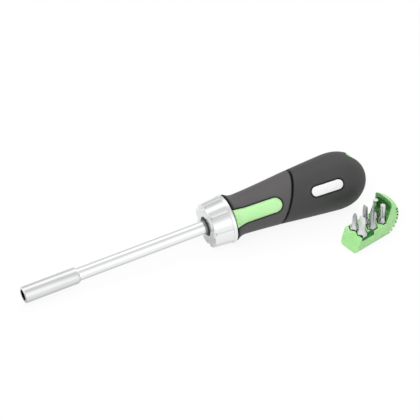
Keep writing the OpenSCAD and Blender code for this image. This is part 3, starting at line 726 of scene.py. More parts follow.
@dataclass
class BitHolder:
    """The sleeve with its hexagonal socket, and the long shaft behind it."""
    axes: Axes
    length: float = 40.0
    outer_r: float = 5.75
    mouth_r: float = 3.85
    mouth_depth: float = 2.0
    socket_af: float = 6.45
    socket_depth: float = 12.5
    magnet_r: float = 3.03
    magnet_t: float = 4.0
    shaft_r: float = 4.55
    shaft_end: float = 155.32
    groove_x: float = 152.89
    groove_w: float = 0.86
    groove_depth: float = 0.6
    chamfer: float = 0.6
    taper: float = 1.4
    bore_gap: float = 0.03
    # Painted shade: the socket and the mouth's wall nearly black; the rest of the sleeve darkened a little all
    # over.
    sleeve_shade: float = 0.12
    socket_shade: float = 0.95
    edge: float = 0.15
    columns: int = 120
    sharp_deg: float = 30.0

    def sleeve(self) -> bpy.types.Object:
        """A loop of stations, out over the lip, back along the sleeve and through the bore.

        The radius is round, apart from the socket, where it is the hexagon's: the flat's half width
        over the cosine of the angle from the nearest flat's middle.

        Returns:
            The sleeve.
        """
        e, start = self.edge, self.socket_depth + self.magnet_t
        back, bore = self.shaft_r + self.chamfer / 2, self.shaft_r + self.bore_gap
        lip_r, slope = self.outer_r - self.chamfer, self.length - self.taper
        hexagon = [(self.socket_depth, 1.0), (self.mouth_depth + e, 1.0)]
        plain = [
            (self.mouth_depth, self.mouth_r - e), (self.mouth_depth, self.mouth_r), (e, self.mouth_r),
            (0.0, self.mouth_r + e), (0.0, lip_r - e), (e / 2, lip_r),
            (self.chamfer - e / 2, self.outer_r - e / 2), (self.chamfer + e, self.outer_r),
            (slope - e, self.outer_r), (slope + e, self.outer_r - e), (self.length - e, back + e),
            (self.length, back), (self.length, bore), (start, bore), (start, self.magnet_r),
            (self.socket_depth, self.magnet_r),
        ]
        a = ring_angles(self.columns)
        x, r = carried(hexagon + plain, a)
        sixth = TURN / 6
        r[:len(hexagon)] *= self.socket_af / 2 / np.cos((a + sixth / 2) % sixth - sixth / 2)
        # Painted shade in the socket and the mouth's wall; a uniform slight darkening on the rest of the sleeve.
        inside = (x >= e) & (r <= self.mouth_r)
        shade = np.where(inside, self.socket_shade, self.sleeve_shade)
        return Lattice(self.axes.ringed(x, r, a), True, shade).build("bit_holder_sleeve", self.sharp_deg)

    def shaft(self) -> bpy.types.Object:
        """A revolved bar with a narrow ring cut in it for the clip, closed on its own axis at both ends.

        Returns:
            The shaft.
        """
        e, start = self.edge, self.socket_depth + self.magnet_t
        low, end = self.shaft_r - self.groove_depth, self.groove_x + self.groove_w
        profile = [
            (start, 0.0), (start, self.shaft_r - e), (start + e, self.shaft_r),
            (self.groove_x, self.shaft_r), (self.groove_x, low), (end, low), (end, self.shaft_r),
            (self.shaft_end - e, self.shaft_r), (self.shaft_end, self.shaft_r - e), (self.shaft_end, 0.0),
        ]
        return revolved(self.axes, profile, self.columns, False).build("long_shaft", self.sharp_deg)

    def build(self, shop: Workshop) -> None:
        """Makes both pieces."""
        shop.hand_in(self.sleeve(), "shaft", Slot.STEEL, "bit_sleeve")
        shop.hand_in(self.shaft(), "shaft", Slot.STEEL, "drive_shaft")


@dataclass
class SelectorCollar:
    """The lobed chrome collar, with the clip and the seal in front of it."""
    axes: Axes
    x: float = 135.3
    length: float = 16.1
    crest_r: float = 16.7
    lobe_r: float = 10.4
    lobes: int = 8
    lobe_blend: float = 0.2
    rim_r: float = 17.05
    rim_w: float = 2.3
    rim_blend: float = 0.5
    taper: float = 0.075
    face_r: float = 13.6
    hub_r: float = 5.1
    recess_r: float = 6.9
    recess: float = 0.2
    shoulder: float = 3.4
    plate_t: float = 0.4
    bore_r: float = 13.5
    flute_r: float = 3.0
    flute_out: float = 3.6
    flute_lean: float = 9.0
    flute_start: float = 10.0
    flute_fade: float = 3.0
    flute_blend: float = 0.35
    flute_least: float = 0.1
    flute_miss: float = 9.0
    edge: float = 0.3
    # Painted shade: the width of the dark lines, and how dark they are in the flutes, along the valleys, on the
    # rim's step and over the flat face.
    line_w: float = 0.55
    line_shade: float = 0.6
    valley_shade: float = 0.22
    rim_shade: float = 0.12
    face_shade: float = 0.1
    seal_out: float = 0.5
    seal_t: float = 0.35
    seal_r: float = 6.7
    seal_bore: float = 4.99
    seal_lip: float = 0.2
    seal_edge: float = 0.1
    seal_gap: float = 0.05
    clip_r: float = 5.45
    clip_t: float = 0.27
    clip_bore: float = 4.98
    clip_gap: float = 0.01
    clip_edge: float = 0.054
    corner_cut: float = 0.3
    corner_rows: int = 5
    face_rows: int = 16
    dome_rows: int = 34
    side_rows: int = 14
    foot_rows: int = 4
    columns_per_lobe: int = 44
    sharp_deg: float = 35.0

    def lobe_radius(self, a: Array) -> Array:
        """The outline across the collar: each lobe is an arc about a centre off the axis, and where two
        arcs meet the valley is blended.

        Args:
            a: angles round.

        Returns:
            Radii.
        """
        offset = self.crest_r - self.lobe_r
        pitch = TURN / self.lobes
        near = (a + pitch / 2) % pitch - pitch / 2

        def arc(turn: Array) -> Array:
            """Radius of one lobe's arc at an angle from its middle."""
            root = np.maximum(self.lobe_r ** 2 - (offset * np.sin(turn)) ** 2, 0.0)
            return offset * np.cos(turn) + np.sqrt(root)

        one_side = soft_max(arc(near), arc(near - pitch), self.lobe_blend)
        return soft_max(one_side, arc(near + pitch), self.lobe_blend)

    def beside_valley(self, a: Array) -> Array:
        """Angle from the nearest valley between two lobes."""
        pitch = TURN / self.lobes
        return a % pitch - pitch / 2

    def flute(self, r: Array, a: Array) -> Array:
        """How far back the short radial flutes reach: a leaning cylinder between each two lobes, which
        comes up to the face before it gets to the middle, and none beside it.

        Args:
            r: radii.
            a: angles round.

        Returns:
            Places along.
        """
        off = r * self.beside_valley(a)
        lean = r * math.sin(math.radians(self.flute_lean))
        rise = self.flute_r * (1.0 - smooth_step((r - self.flute_start) / self.flute_fade))
        arch = np.sqrt(np.maximum(self.flute_r ** 2 - off ** 2, 0.0))
        miss = self.flute_miss * (np.abs(off) >= self.flute_r)
        return self.x - self.flute_out + lean - rise + arch - miss

    def collar(self) -> bpy.types.Object:
        """Rows run from the hub over the face, the domed shoulder and the lobes to the rim, and back
        through the bore. The lobes trim the radius and the flutes trim the place.

        Returns:
            The collar.
        """
        a = ring_angles(self.lobes * self.columns_per_lobe)
        e, end = self.edge, self.x + self.length
        rim_x, cut_e = end - self.rim_w, self.corner_cut * e
        corner = np.linspace(0.0, QUARTER, self.corner_rows)
        face = np.linspace(self.recess_r + e, self.face_r, self.face_rows)[1:]
        dome = np.linspace(0.0, QUARTER, self.dome_rows)[1:]
        dome_x = self.x + self.shoulder * (1 - np.cos(dome))
        dome_r = self.face_r + (self.rim_r - self.face_r) * np.sin(dome)
        sides = np.linspace(dome_x[-1], rim_x - e, self.side_rows)[1:]
        x = np.concatenate([
            [self.x + self.recess] * 2, self.x + e * (1 - np.sin(corner)), 0 * face + self.x, dome_x, sides])
        r = np.concatenate([
            [self.hub_r, self.recess_r], self.recess_r + e * (1 - np.cos(corner)), face, dome_r,
            0 * sides + self.rim_r])
        x, r = x[:, None], r[:, None]
        slim = 1.0 - self.taper * np.clip((rim_x - x) / (rim_x - self.x), 0.0, 1.0)
        grid_r = soft_min(r + 0 * a, slim * self.lobe_radius(a), self.rim_blend)
        grid_x = soft_max(x + 0 * a, self.flute(grid_r, a), self.flute_blend)
        foot = np.linspace(0.0, QUARTER, self.foot_rows)[1:, None]
        step_x = rim_x - e + e * np.sin(foot) + 0 * a
        step_r = grid_r[-1] + e * (1 - np.cos(foot))
        plate_x = self.x + self.plate_t
        back_x, back_r = carried([
            (rim_x, self.rim_r - e), (rim_x + cut_e, self.rim_r - cut_e), (rim_x + e, self.rim_r),
            (end - e, self.rim_r), (end - cut_e, self.rim_r - cut_e), (end, self.rim_r - e),
            (end, self.bore_r + e), (end - e, self.bore_r), (plate_x, self.bore_r), (plate_x, self.hub_r),
        ], a)
        # Painted shade: dark lines in the flutes and fainter ones along the valleys, a little over the flat face,
        # a faint line on the rim's step, and full shade in the recess round the hub.
        valley = np.exp(-((grid_r * self.beside_valley(a)) / self.line_w) ** 2)
        cut = np.where(grid_x > x + self.flute_least, self.line_shade, self.valley_shade)
        shade = np.where(x <= self.x + e, self.face_shade, 0.0)
        shade = np.maximum(shade, np.where(grid_x > self.x + e, cut * valley, 0.0))
        shade[:2] = 1.0
        shade = np.vstack([shade, 0.0 * step_x + self.rim_shade, 0.0 * back_x])
        grid_x = np.vstack([grid_x, step_x, back_x])
        grid_r = np.vstack([grid_r, step_r, back_r])
        points = self.axes.ringed(grid_x, grid_r, a)
        return Lattice(points, True, shade).build("lobed_collar", self.sharp_deg)

    def seal(self) -> bpy.types.Object:
        """A soft ring that widens from a thin lip, fills the recess, and is hollow where the clip lies.

        Returns:
            The seal.
        """
        front, end = self.x - self.seal_t, self.x + self.recess - self.seal_gap
        inner, hollow_r = front + self.seal_gap, self.clip_r + self.seal_gap
        tip = self.x - self.seal_out
        profile = [
            (tip, self.seal_bore), (tip, self.seal_bore + self.seal_lip),
            (front, self.seal_r - self.seal_edge), (front + self.seal_edge, self.seal_r),
            (end, self.seal_r), (end, hollow_r), (inner, hollow_r), (inner, self.seal_bore),
        ]
        return revolved(self.axes, profile).build("front_seal")

    def clip(self) -> bpy.types.Object:
        """A flat ring with softened edges.

        Returns:
            The clip.
        """
        e, end = self.clip_edge, self.x - self.clip_gap
        start = end - self.clip_t
        profile = [
            (start, self.clip_bore), (start, self.clip_r - e), (start + e, self.clip_r),
            (end - e, self.clip_r), (end, self.clip_r - e), (end, self.clip_bore),
        ]
        return revolved(self.axes, profile).build("front_clip")

    def build(self, shop: Workshop) -> None:
        """Makes the collar, its clip and its seal.

        Args:
            shop: where the finishes are.
        """
        shop.hand_in(self.collar(), "selector", Slot.CHROME, "selector_collar")
        shop.hand_in(self.clip(), "front_handle", Slot.DARK, "collar_clip")
        shop.hand_in(self.seal(), "front_handle", Slot.SEAL, "shaft_seal")


@dataclass(frozen=True)
class HandleForm:
    """The handle's outline, as stations of place, radius and slope along its own middle line."""
    front_x: float = 152.5
    butt_x: float = 256.0
    flange: tuple = (153.4, 16.4, -0.75)
    neck: tuple = (161.0, 14.25, 0.05)
    back: tuple = (224.0, 19.5, 0.07)
    belly: tuple = (232.0, 20.0, 0.0)
    dome_power: float = 2.2
    inset: float = 0.04

    def radius(self, x: Array) -> Array:
        """The radius at a place: the flange's, a cubic stretch between each two stations, the belly's.

        Args:
            x: places along.

        Returns:
            The radii there.
        """
        stations = (self.flange, self.neck, self.back, self.belly)
        r = self.flange[1] + 0 * x
        for first, second in zip(stations, stations[1:]):
            r = np.where(x > first[0], hermite(first, second, x), r)
        return np.where(x > self.belly[0], self.belly[1], r) - self.inset

    def dome_x(self, r: Array, inset: float = 0.0) -> Array:
        """Where the domed butt has a radius: its length times (1 - (r / belly)²) to 1 / power.

        Args:
            r: the radius.
            inset: how far inside the outline.

        Returns:
            The place along.
        """
        inset += self.inset
        share = np.clip(1.0 - (r / (self.belly[1] - inset)) ** 2, 0.0, 1.0)
        return self.belly[0] + (self.butt_x - self.belly[0] - inset) * share ** (1.0 / self.dome_power)


@dataclass(frozen=True)
class Outline:
    """A rounded window or plate, drawn across the tool's side: a spine with a half width about it. One
    with an open front widens there in a straight flare, which goes on past its start."""
    start: float
    end: float
    half: float
    flare_to: float = 0.0
    flare_half: float = 0.0
    open_front: bool = False
    flare_share: float = 1.5

    def half_at(self, x: Array) -> Array:
        """Half width at a place.

        Args:
            x: places along.

        Returns:
            Half widths there.
        """
        if not self.open_front:
            return np.full_like(x, self.half)
        t = np.clip((self.flare_to - x) / (self.flare_to - self.start), 0.0, self.flare_share)
        return self.half + (self.flare_half - self.half) * t

    def distance(self, x: Array, z: Array) -> tuple[Array, Array, Array]:
        """Signed distance to the outline, negative inside, and the direction in which it grows.

        Args:
            x: places along.
            z: places across.

        Returns:
            The distance and the two parts of its direction.
        """
        low = -math.inf if self.open_front else self.start + self.half
        dx = x - np.clip(x, low, self.end - self.half)
        far = np.sqrt(dx ** 2 + z ** 2) + TINY
        return far - self.half_at(x), dx / far, z / far

    def border(self, count: int, grow: float) -> tuple[Array, Array]:
        """Points round the outline and, for each, its foot on the spine.

        Args:
            count: how many points.
            grow: how far outside the outline they lie.

        Returns:
            Border points (count, 2) and feet (count, 2).
        """
        half = self.half + grow
        tip = self.end - self.half
        if self.open_front:
            a = np.linspace(QUARTER, -QUARTER, count // 3)
            cap = np.stack([tip + half * np.cos(a), half * np.sin(a)], -1)
            run = np.linspace(tip, self.start, count // 4)[1:]
            low = np.stack([run, -(self.half_at(run) + grow)], -1)
            across = np.linspace(-(self.flare_half + grow), self.flare_half + grow, count // 6)[1:-1]
            front = np.stack([0 * across + self.start, across], -1)
            points = np.vstack([cap, low, front, low[::-1] * [1, -1]])
            feet_x = np.clip(points[:, 0], self.start + half, tip)
        else:
            a = ring_angles(count)
            feet_x = np.where(np.cos(a) >= 0, tip, self.start + self.half)
            points = np.stack([feet_x + half * np.cos(a), half * np.sin(a)], -1)
        return points, np.stack([feet_x, 0 * feet_x], -1)


@dataclass(frozen=True)
class Plate:
    """A raised plate on the handle's side: how far its border lies below the handle's outline, its
    thickness, how much higher its middle stands, the radius of its rounded border, how much wider it is
    than its outline, and the width of the painted shade line along its border."""
    outline: Outline
    top: float
    thick: float
    crown: float
    edge: float
    grow: float
    line: float


@dataclass
class Skin:
    """What the front and rear skins share: their ends at the seam, and how a window is pressed into a
    dense grid. The side is -1 in front of the seam and 1 behind it."""
    form: HandleForm
    tool: Axes
    seam: Seam
    side: int
    pivot_x: float
    tilt_deg: float
    drop: float
    window: Outline
    depth: float
    plate: Plate
    skin_t: float
    rows: int
    columns: int = 336
    inner_rows: int = 12
    core_gap: float = 0.0
    seam_at: float = 41.0
    seam_gap: float = 0.6
    # seam_line and window_line: widths of the painted shade lines along the seam and round the window.
    seam_line: float = 1.0
    lip: float = 0.7
    wall_w: float = 0.22
    roll_w: float = 0.9
    roll: float = 0.22
    pull: float = 1.1
    least_side: float = 2.0
    window_line: float = 1.5
    sharp_deg: float = 50.0
    lip_rows: int = 7
    spine_rows: int = 10
    border_rows: int = 8
    border_bend: float = 0.3
    border_share: float = 0.1
    border_points: int = 150
    axes: Axes = field(init=False)
    angles: Array = field(init=False)

    def __post_init__(self) -> None:
        """Tilts the tool's axes to the skin's own, and spaces the angles of its rings."""
        self.axes = self.tool.tilted(self.pivot_x, self.tilt_deg, self.drop)
        self.angles = ring_angles(self.columns)[None, :]

    def meet(self, away: float, inset: float = 0.0) -> Array:
        """Where the rings' lines meet a plane beside the seam, found by repeating for the radius there.

        Args:
            away: the plane's distance from the skin's own end.
            inset: how far the lines lie inside the outline.

        Returns:
            Millimetres along, for each angle.
        """
        x = np.full(self.angles.shape, self.form.front_x + self.seam_at)
        for _ in range(MEETINGS):
            r = self.form.radius(x) - inset
            x = self.axes.reach(r, self.angles, self.seam, self.side * (self.seam_gap / 2 + away))
        return x

    def lip_rings(self) -> tuple[Array, Array]:
        """Rings of the rounded lip, from the seam outwards: a quarter turn of the lip's radius.

        Returns:
            Their places, and how far each lies below the outline.
        """
        turn = np.linspace(0.0, QUARTER, self.lip_rows)[:-1]
        x = np.vstack([self.meet(away) for away in self.lip * (1 - np.cos(turn))])
        return x, self.lip * (1 - np.sin(turn))[:, None]

    def inner_rings(self, end: float) -> tuple[Array, Array]:
        """Rings of the inner wall, from the seam to a place.

        Args:
            end: the place.

        Returns:
            Their places and radii.
        """
        start = self.meet(0.0, self.skin_t)
        x = start + (end - start) * np.linspace(0.0, 1.0, self.inner_rows)[:, None]
        return x, self.form.radius(x) - self.skin_t - self.core_gap

    def joined(self, name: str, *bands: tuple) -> bpy.types.Object:
        """Joins bands of rings into one closed surface.

        Args:
            name: the object's name.
            bands: each band's places, radii, angles and shade, the last three as full as they vary.

        Returns:
            The object.
        """
        x, r, a, shade = (
            np.vstack([np.broadcast_to(band[k], band[0].shape) for band in bands]) for k in range(4))
        return Lattice(self.axes.ringed(x, r, a), True, shade).build(name, self.sharp_deg)

    def drawn_to_window(self, x: Array) -> tuple[Array, Array]:
        """Moves grid points along the outline's gradient so that they gather at the window's wall.

        A point at distance d moves to d(d² + b²/8) / (d² + b²), which leaves far points alone.

        Args:
            x: places along.

        Returns:
            The moved places and angles.
        """
        a = self.angles
        r = self.form.radius(x)
        d, gx, gz = self.window.distance(x, r * np.sin(a))
        shift = d * (d * d + self.pull ** 2 / 8) / (d * d + self.pull ** 2) - d
        side = r * np.cos(a)
        side = np.where(side < 0, -1.0, 1.0) * np.maximum(np.abs(side), self.least_side)
        return x + gx * shift, a + gz * shift / side

    def pressed(self, x: Array, a: Array) -> Array:
        """How far the surface is sunk: a rolled lip that steepens to the window, then its full depth.

        Args:
            x: places along.
            a: angles round.

        Returns:
            The depth.
        """
        d, _, _ = self.window.distance(x, self.form.radius(x) * np.sin(a))
        lip = self.roll * np.clip(1.0 - d / self.roll_w, 0.0, 1.0) ** 2 * (d > 0)
        wall = smooth_step((self.wall_w - d) / self.wall_w)
        return lip + (self.depth - lip) * wall

    def line_shade(self, x: Array, a: Array, gap: Array) -> Array:
        """How much painted shade a point carries: 1 in the window's wall and at a gap, and fading beside both.

        Args:
            x: places along.
            a: angles round.
            gap: distances from the nearest gap, as shares of the width of its dark line.

        Returns:
            The shade, from 0 to 1.
        """
        d, _, _ = self.window.distance(x, self.form.radius(x) * np.sin(a))
        return smooth_step(1.0 - np.minimum(np.maximum(d, 0.0) / self.window_line, gap))

    def pad(self, name: str, near: bool) -> bpy.types.Object:
        """The skin's plate, which follows the handle, with a rounded border.

        Rings run from the spine to the border, down the wall and back. The height is the handle's
        radius less an inset, plus a crown that falls off with the square of the share outwards.

        Args:
            name: the object's name.
            near: whether it lies on the side of the badge that shows.

        Returns:
            The plate.
        """
        plate = self.plate
        border, feet = plate.outline.border(self.border_points, plate.grow)
        bend = np.linspace(self.border_bend, QUARTER, self.border_rows)
        shares = np.concatenate([
            np.linspace(0.0, 1.0 - self.border_share, self.spine_rows),
            1.0 - self.border_share * np.cos(bend)])[:, None]
        flat = feet + (border - feet) * shares[..., None]
        gap = np.linalg.norm(border - feet, axis=1) * (1.0 - shares)
        fall = np.clip(1.0 - gap / plate.edge, 0.0, 1.0)
        drop = plate.top + plate.edge * (1.0 - np.sqrt(1.0 - fall ** 2)) - plate.crown * (1.0 - shares ** 2)
        low = np.full((2, len(border)), plate.top + plate.thick)
        # Painted shade: a dark line along the border that fades inwards, and the wall fully dark.
        shade = np.vstack([smooth_step(1.0 - gap / plate.line), 0.0 * low + 1.0])
        x, z = np.moveaxis(np.concatenate([flat, border[None], feet[None]]), -1, 0)
        r = self.form.radius(x) - np.vstack([drop, low])
        y = np.sqrt(np.maximum(r ** 2 - z ** 2, 0.0)) * (-1 if near else 1)
        return Lattice(self.axes.place(x, y, z), False, shade).build(name, self.sharp_deg)


@dataclass
class FrontHandle(Skin):
    """The soft skin in front of the seam, and the green inlays in its windows."""
    side: int = -1
    pivot_x: float = 152.5
    tilt_deg: float = 0.9664
    drop: float = 0.0
    window: Outline = Outline(152.5, 187.3, 5.3, 161.0, 6.7, open_front=True)
    depth: float = 2.4
    plate: Plate = Plate(
        Outline(152.5, 187.0, 5.0, 161.0, 6.4, open_front=True),
        top=0.12, thick=1.5, crown=0.1, edge=0.5, grow=0.06, line=0.7)
    skin_t: float = 2.5
    core_gap: float = 0.15
    rows: int = 110
    nose_rows: int = 6
    front_edge: float = 0.5
    # front_line: width of the painted shade line by the front edge, where the grip meets the collar.
    front_line: float = 2.2

    def skin(self) -> bpy.types.Object:
        """Rows run from the rounded front edge to the seam, over its lip and back inside.

        Each ring's place is a share of the way to the slanted plane, found for its own radius.

        Returns:
            The skin.
        """
        a, front = self.angles, self.form.front_x
        start, end = front + self.front_edge, self.meet(self.lip)
        x, wide = self.drawn_to_window(start + (end - start) * np.linspace(0.0, 1.0, self.rows)[:, None])
        bend = np.linspace(0.0, QUARTER, self.nose_rows)[:-1, None]
        nose_x = front + self.front_edge * (1 - np.cos(bend)) + 0 * a
        nose_drop = self.front_edge * (1 - np.sin(bend)) + self.pressed(nose_x, wide[:1])
        lip_x, cut = (rings[::-1] for rings in self.lip_rings())
        # Painted shade: full on the rounded front edge, the seam's lip and the inside; on the body, lines by the
        # front edge, the seam and the window.
        gap = np.minimum((x - front) / self.front_line, (end + self.lip - x) / self.seam_line)
        return self.joined(
            "front_soft_skin",
            (nose_x, self.form.radius(nose_x) - np.minimum(nose_drop, self.depth), wide[:1], 1.0),
            (x, self.form.radius(x) - self.pressed(x, wide), wide, self.line_shade(x, wide, gap)),
            (lip_x, self.form.radius(lip_x) - cut - self.pressed(lip_x, a), a, 1.0),
            (*self.inner_rings(front), a, 1.0))

    def build(self, shop: Workshop) -> None:
        """Makes the skin and both inlays.

        Args:
            shop: where the finishes are.
        """
        shop.hand_in(self.skin(), "front_handle", Slot.FRONT_GRIP, "front_grip")
        for side, near in (("left", True), ("right", False)):
            shop.hand_in(self.pad(f"green_inlay_{side}", near), "front_handle", Slot.GREEN)


@dataclass
class RearHandle(Skin):
    """The soft skin behind the seam, its badges, and the green core with the cartridge's slot."""
    side: int = 1
    pivot_x: float = 194.0
    tilt_deg: float = 1.7
    drop: float = 0.7
    window: Outline = Outline(208.7, 232.3, 3.8)
    depth: float = 1.35
    plate: Plate = Plate(
        Outline(209.0, 232.0, 3.5), top=0.2, thick=1.0, crown=0.12, edge=0.45, grow=0.0, line=0.2)
    skin_t: float = 1.8
    rows: int = 96
    dome_rows: int = 40
    corner_rows: int = 5
    settle_w: float = 1.5
    slot_half_w: float = 9.57
    slot_half_h: float = 16.17
    slot_r: float = 4.32
    slot_start: float = 240.48
    mouth_edge: float = 0.35
    shelf_gap: float = 0.1
    core_edge: float = 0.3

    def mouth_radius(self) -> Array:
        """Distance from the axis to the slot's rounded outline, for each angle: found by halving.

        Returns:
            The distances.
        """
        c, s = np.abs(np.cos(self.angles)), np.abs(np.sin(self.angles))
        low, high = np.zeros_like(c), np.full_like(c, self.slot_half_w + self.slot_half_h)
        for _ in range(HALVINGS):
            mid = (low + high) / 2
            qx = np.maximum(mid * c - self.slot_half_w + self.slot_r, 0.0)
            qz = np.maximum(mid * s - self.slot_half_h + self.slot_r, 0.0)
            outside = np.sqrt(qx ** 2 + qz ** 2) > self.slot_r
            high = np.where(outside, mid, high)
            low = np.where(outside, low, mid)
        return (low + high) / 2

    def mouth_corner(self, x: Array, r: Array) -> tuple[Array, Array]:
        """Rounds the edge between the dome and the slot: a quarter turn away from the dome's last step,
        which starts where the dome's last ring is drawn back to.

        Args:
            x: places of the dome's rings, of which the last is moved.
            r: their radii.

        Returns:
            Places and radii of the corner's rings.
        """
        step_x, step_r = x[-1] - x[-2], r[-1] - r[-2]
        scale = self.mouth_edge / np.hypot(step_x, step_r)
        tx, tr = step_x * scale, step_r * scale
        x[-1] -= tx
        r[-1] -= tr
        bend = np.linspace(0.0, QUARTER, self.corner_rows)[1:, None]
        on, aside = np.sin(bend), 1 - np.cos(bend)
        return x[-1] + tx * on + tr * aside, r[-1] + tr * on - tx * aside

    def skin(self) -> bpy.types.Object:
        """Rows run from the seam's lip to the belly, over the dome to the slot's mouth, and back inside.

        Returns:
            The skin.
        """
        a, belly = self.angles, self.form.belly[0]
        lip_x, cut = self.lip_rings()
        start = self.meet(self.lip)
        x = start + (belly - start) * np.linspace(0.0, 1.0, self.rows)[:, None]
        moved_x, moved_a = self.drawn_to_window(x)
        keep = smooth_step((belly - x) / self.settle_w)
        x, wide = x + (moved_x - x) * keep, a + (moved_a - a) * keep
        mouth = self.mouth_radius()
        belly_r = self.form.belly[1] - self.form.inset
        reach = np.arccos(np.clip(mouth / belly_r, 0.0, 1.0))
        dome_r = belly_r * np.cos(reach * np.linspace(0.0, 1.0, self.dome_rows)[1:, None])
        dome_x = self.form.dome_x(dome_r)
        corner_x, corner_r = self.mouth_corner(dome_x, dome_r)
        deep_x = np.maximum(self.form.dome_x(mouth, self.skin_t), self.slot_start)
        shelf_r = np.minimum(mouth, belly_r - self.skin_t - self.shelf_gap)
        inner_x, inner_r = (rings[::-1] for rings in self.inner_rings(belly))
        # Painted shade: full on the seam's lip, in the slot and inside; on the body, lines by the seam and the
        # window; none on the dome.
        gap = (x - start + self.lip) / self.seam_line
        return self.joined(
            "rear_soft_skin",
            (lip_x, self.form.radius(lip_x) - cut, a, 1.0),
            (x, self.form.radius(x) - self.pressed(x, wide), wide, self.line_shade(x, wide, gap)),
            (dome_x, dome_r, a, 0.0), (corner_x, corner_r, a, 0.0), (deep_x, mouth, a, 1.0),
            (np.full_like(mouth, self.slot_start), shelf_r, a, 1.0), (inner_x, inner_r, a, 1.0))

    def build(self, shop: Workshop) -> None:
        """Makes the skin, the badges and the rounded core halves.

        Args:
            shop: where the finishes are.
        """
        shop.hand_in(self.skin(), "rear_handle", Slot.REAR_GRIP, "rear_grip")
        for side, near in (("left", True), ("right", False)):
            badge = self.pad(f"plain_badge_{side}", near)
            shop.hand_in(badge, "rear_handle", Slot.BADGE, f"badge_{side}")
            core = rounded_copy(f"rear_core_{side}", f"green_core_{side}", self.core_edge)
            shop.hand_in(core, "rear_handle", Slot.GREEN, f"rear_core_{side}")


BIT_BODIES = {
    "bit_flat_large": "large_flat_bit",
    "bit_cross_large": "large_cross_bit",
    "bit_star": "star_bit",
    "bit_cross_small": "small_cross_bit",
    "bit_flat_small": "small_flat_bit",
    "bit_hex": "hexagon_bit",
}


@dataclass
class Cartridge:
    """The loose tray with its hood, and the six bits that stand in it."""
    corner: tuple = (221.1, -55.5)
    yaw_deg: float = 14.3
    length: float = 41.0
    width: float = 16.0
    height: float = 29.2
    tray_h: float = 12.0
    edge_r: float = 3.0
    hood_r: float = 17.6
    hood_t: float = 3.0
    hood_at: float = 13.5
    notch: tuple = (5.4, 16.4, 2.6, 3.0)
    sunk: float = 0.12
    tray_edge: float = 0.3
    bit_edge: float = 0.12
    bit_sharp_deg: float = 30.0
    level_z: float = 0.9
    # Painted shade in the notch, inside the hood, and lighter on the hood's floor.
    notch_shade: float = 0.9
    hood_shade: float = 0.75
    hood_floor_shade: float = 0.3

    def shade(self, centres: Array, ways: Array) -> Array:
        """How much painted shade each face of the tray carries: the pockets and the grip grooves most, then
        the notch in the wall, the inside of the hood, and the hood's floor.

        A face lies in one of the grip's grooves where its centre is well below the round end, a ball that is
        trimmed to the tray's rounded section.

        Args:
            centres: the faces' centres in metres.
            ways: the faces' directions.

        Returns:
            The shades, from 0 to 1.
        """
        sunk, half = self.sunk, self.width / 2
        c, s = math.cos(math.radians(self.yaw_deg)), math.sin(math.radians(self.yaw_deg))
        east, north = centres[:, 0] / MM - self.corner[0], centres[:, 1] / MM - self.corner[1]
        x, y, z = east * c + north * s, north * c - east * s, centres[:, 2] / MM - cad_box[0][2] / MM
        off = np.abs(y - half)
        end_x = self.length - self.hood_r
        high = np.abs(z - self.height / 2)
        r = np.sqrt((x - end_x) ** 2 + off ** 2 + high ** 2)
        over_z, over_y = high - self.height / 2 + self.edge_r, off - half + self.edge_r
        outside = np.hypot(np.maximum(over_z, 0.0), np.maximum(over_y, 0.0)) + np.minimum(
            np.maximum(over_z, over_y), 0.0) - self.edge_r
        outside = np.maximum(outside, r - self.hood_r)
        start, end, reach, depth = self.notch
        painted_recess_shade = (x > end_x) & (outside < -sunk) & (r > self.hood_r - 2 * self.hood_t)
        hood = (x > self.length - self.hood_at - sunk) & (z > self.tray_h - sunk) & (
            r < self.hood_r - self.hood_t + sunk) & (off < half - sunk)
        low = (z < self.tray_h - sunk / 2) & (z > 2 * sunk)
        pocket = low & (off < half - sunk) & (x < self.length - self.hood_at + self.edge_r)
        notch = low & (y < reach + sunk) & (z > self.tray_h - depth - sunk) & (
            x > start - sunk) & (x < end + sunk) & (y > sunk / 2)
        # Painted shade: upward faces inside the hood get less, as a lit floor would.
        in_hood = np.where(ways[:, 2] > self.level_z, self.hood_floor_shade, self.hood_shade)
        shade = np.where(hood, in_hood, 1.0 * painted_recess_shade)
        shade = np.where(pocket & (x > self.edge_r), 1.0, shade)
        return np.where(notch, self.notch_shade, shade)

    def build(self, shop: Workshop) -> None:
        """Makes rounded copies of the tray and of each bit.

        Args:
            shop: where the finishes are.
        """
        tray = rounded_copy("cartridge_tray", "hooded_tray", self.tray_edge, shade=self.shade)
        shop.hand_in(tray, "cartridge", Slot.CARTRIDGE, "cartridge_tray")
        for node, body in BIT_BODIES.items():
            name = node.replace("bit_", "driver_bit_")
            bit = rounded_copy(node, name, self.bit_edge, self.bit_sharp_deg)
            shop.hand_in(bit, body, Slot.BIT, node)


# Studio

def stand(made: bpy.types.Object, right: Array, up: Array, back: Array, spot: Array) -> None:
    """Places a camera or lamp, whose own z axis points back.

    Args:
        made: the object.
        right: its x axis.
        up: its y axis.
        back: its z axis.
        spot: its place in metres.
    """
    rows = np.eye(4)
    rows[:3] = np.column_stack([right, up, back, spot])
    made.matrix_world = Matrix(rows.tolist())


@dataclass(frozen=True)
class Lamp:
    """A square soft lamp: its place and side in metres, and its power in watts."""
    name: str
    spot: tuple
    size: float
    power: float


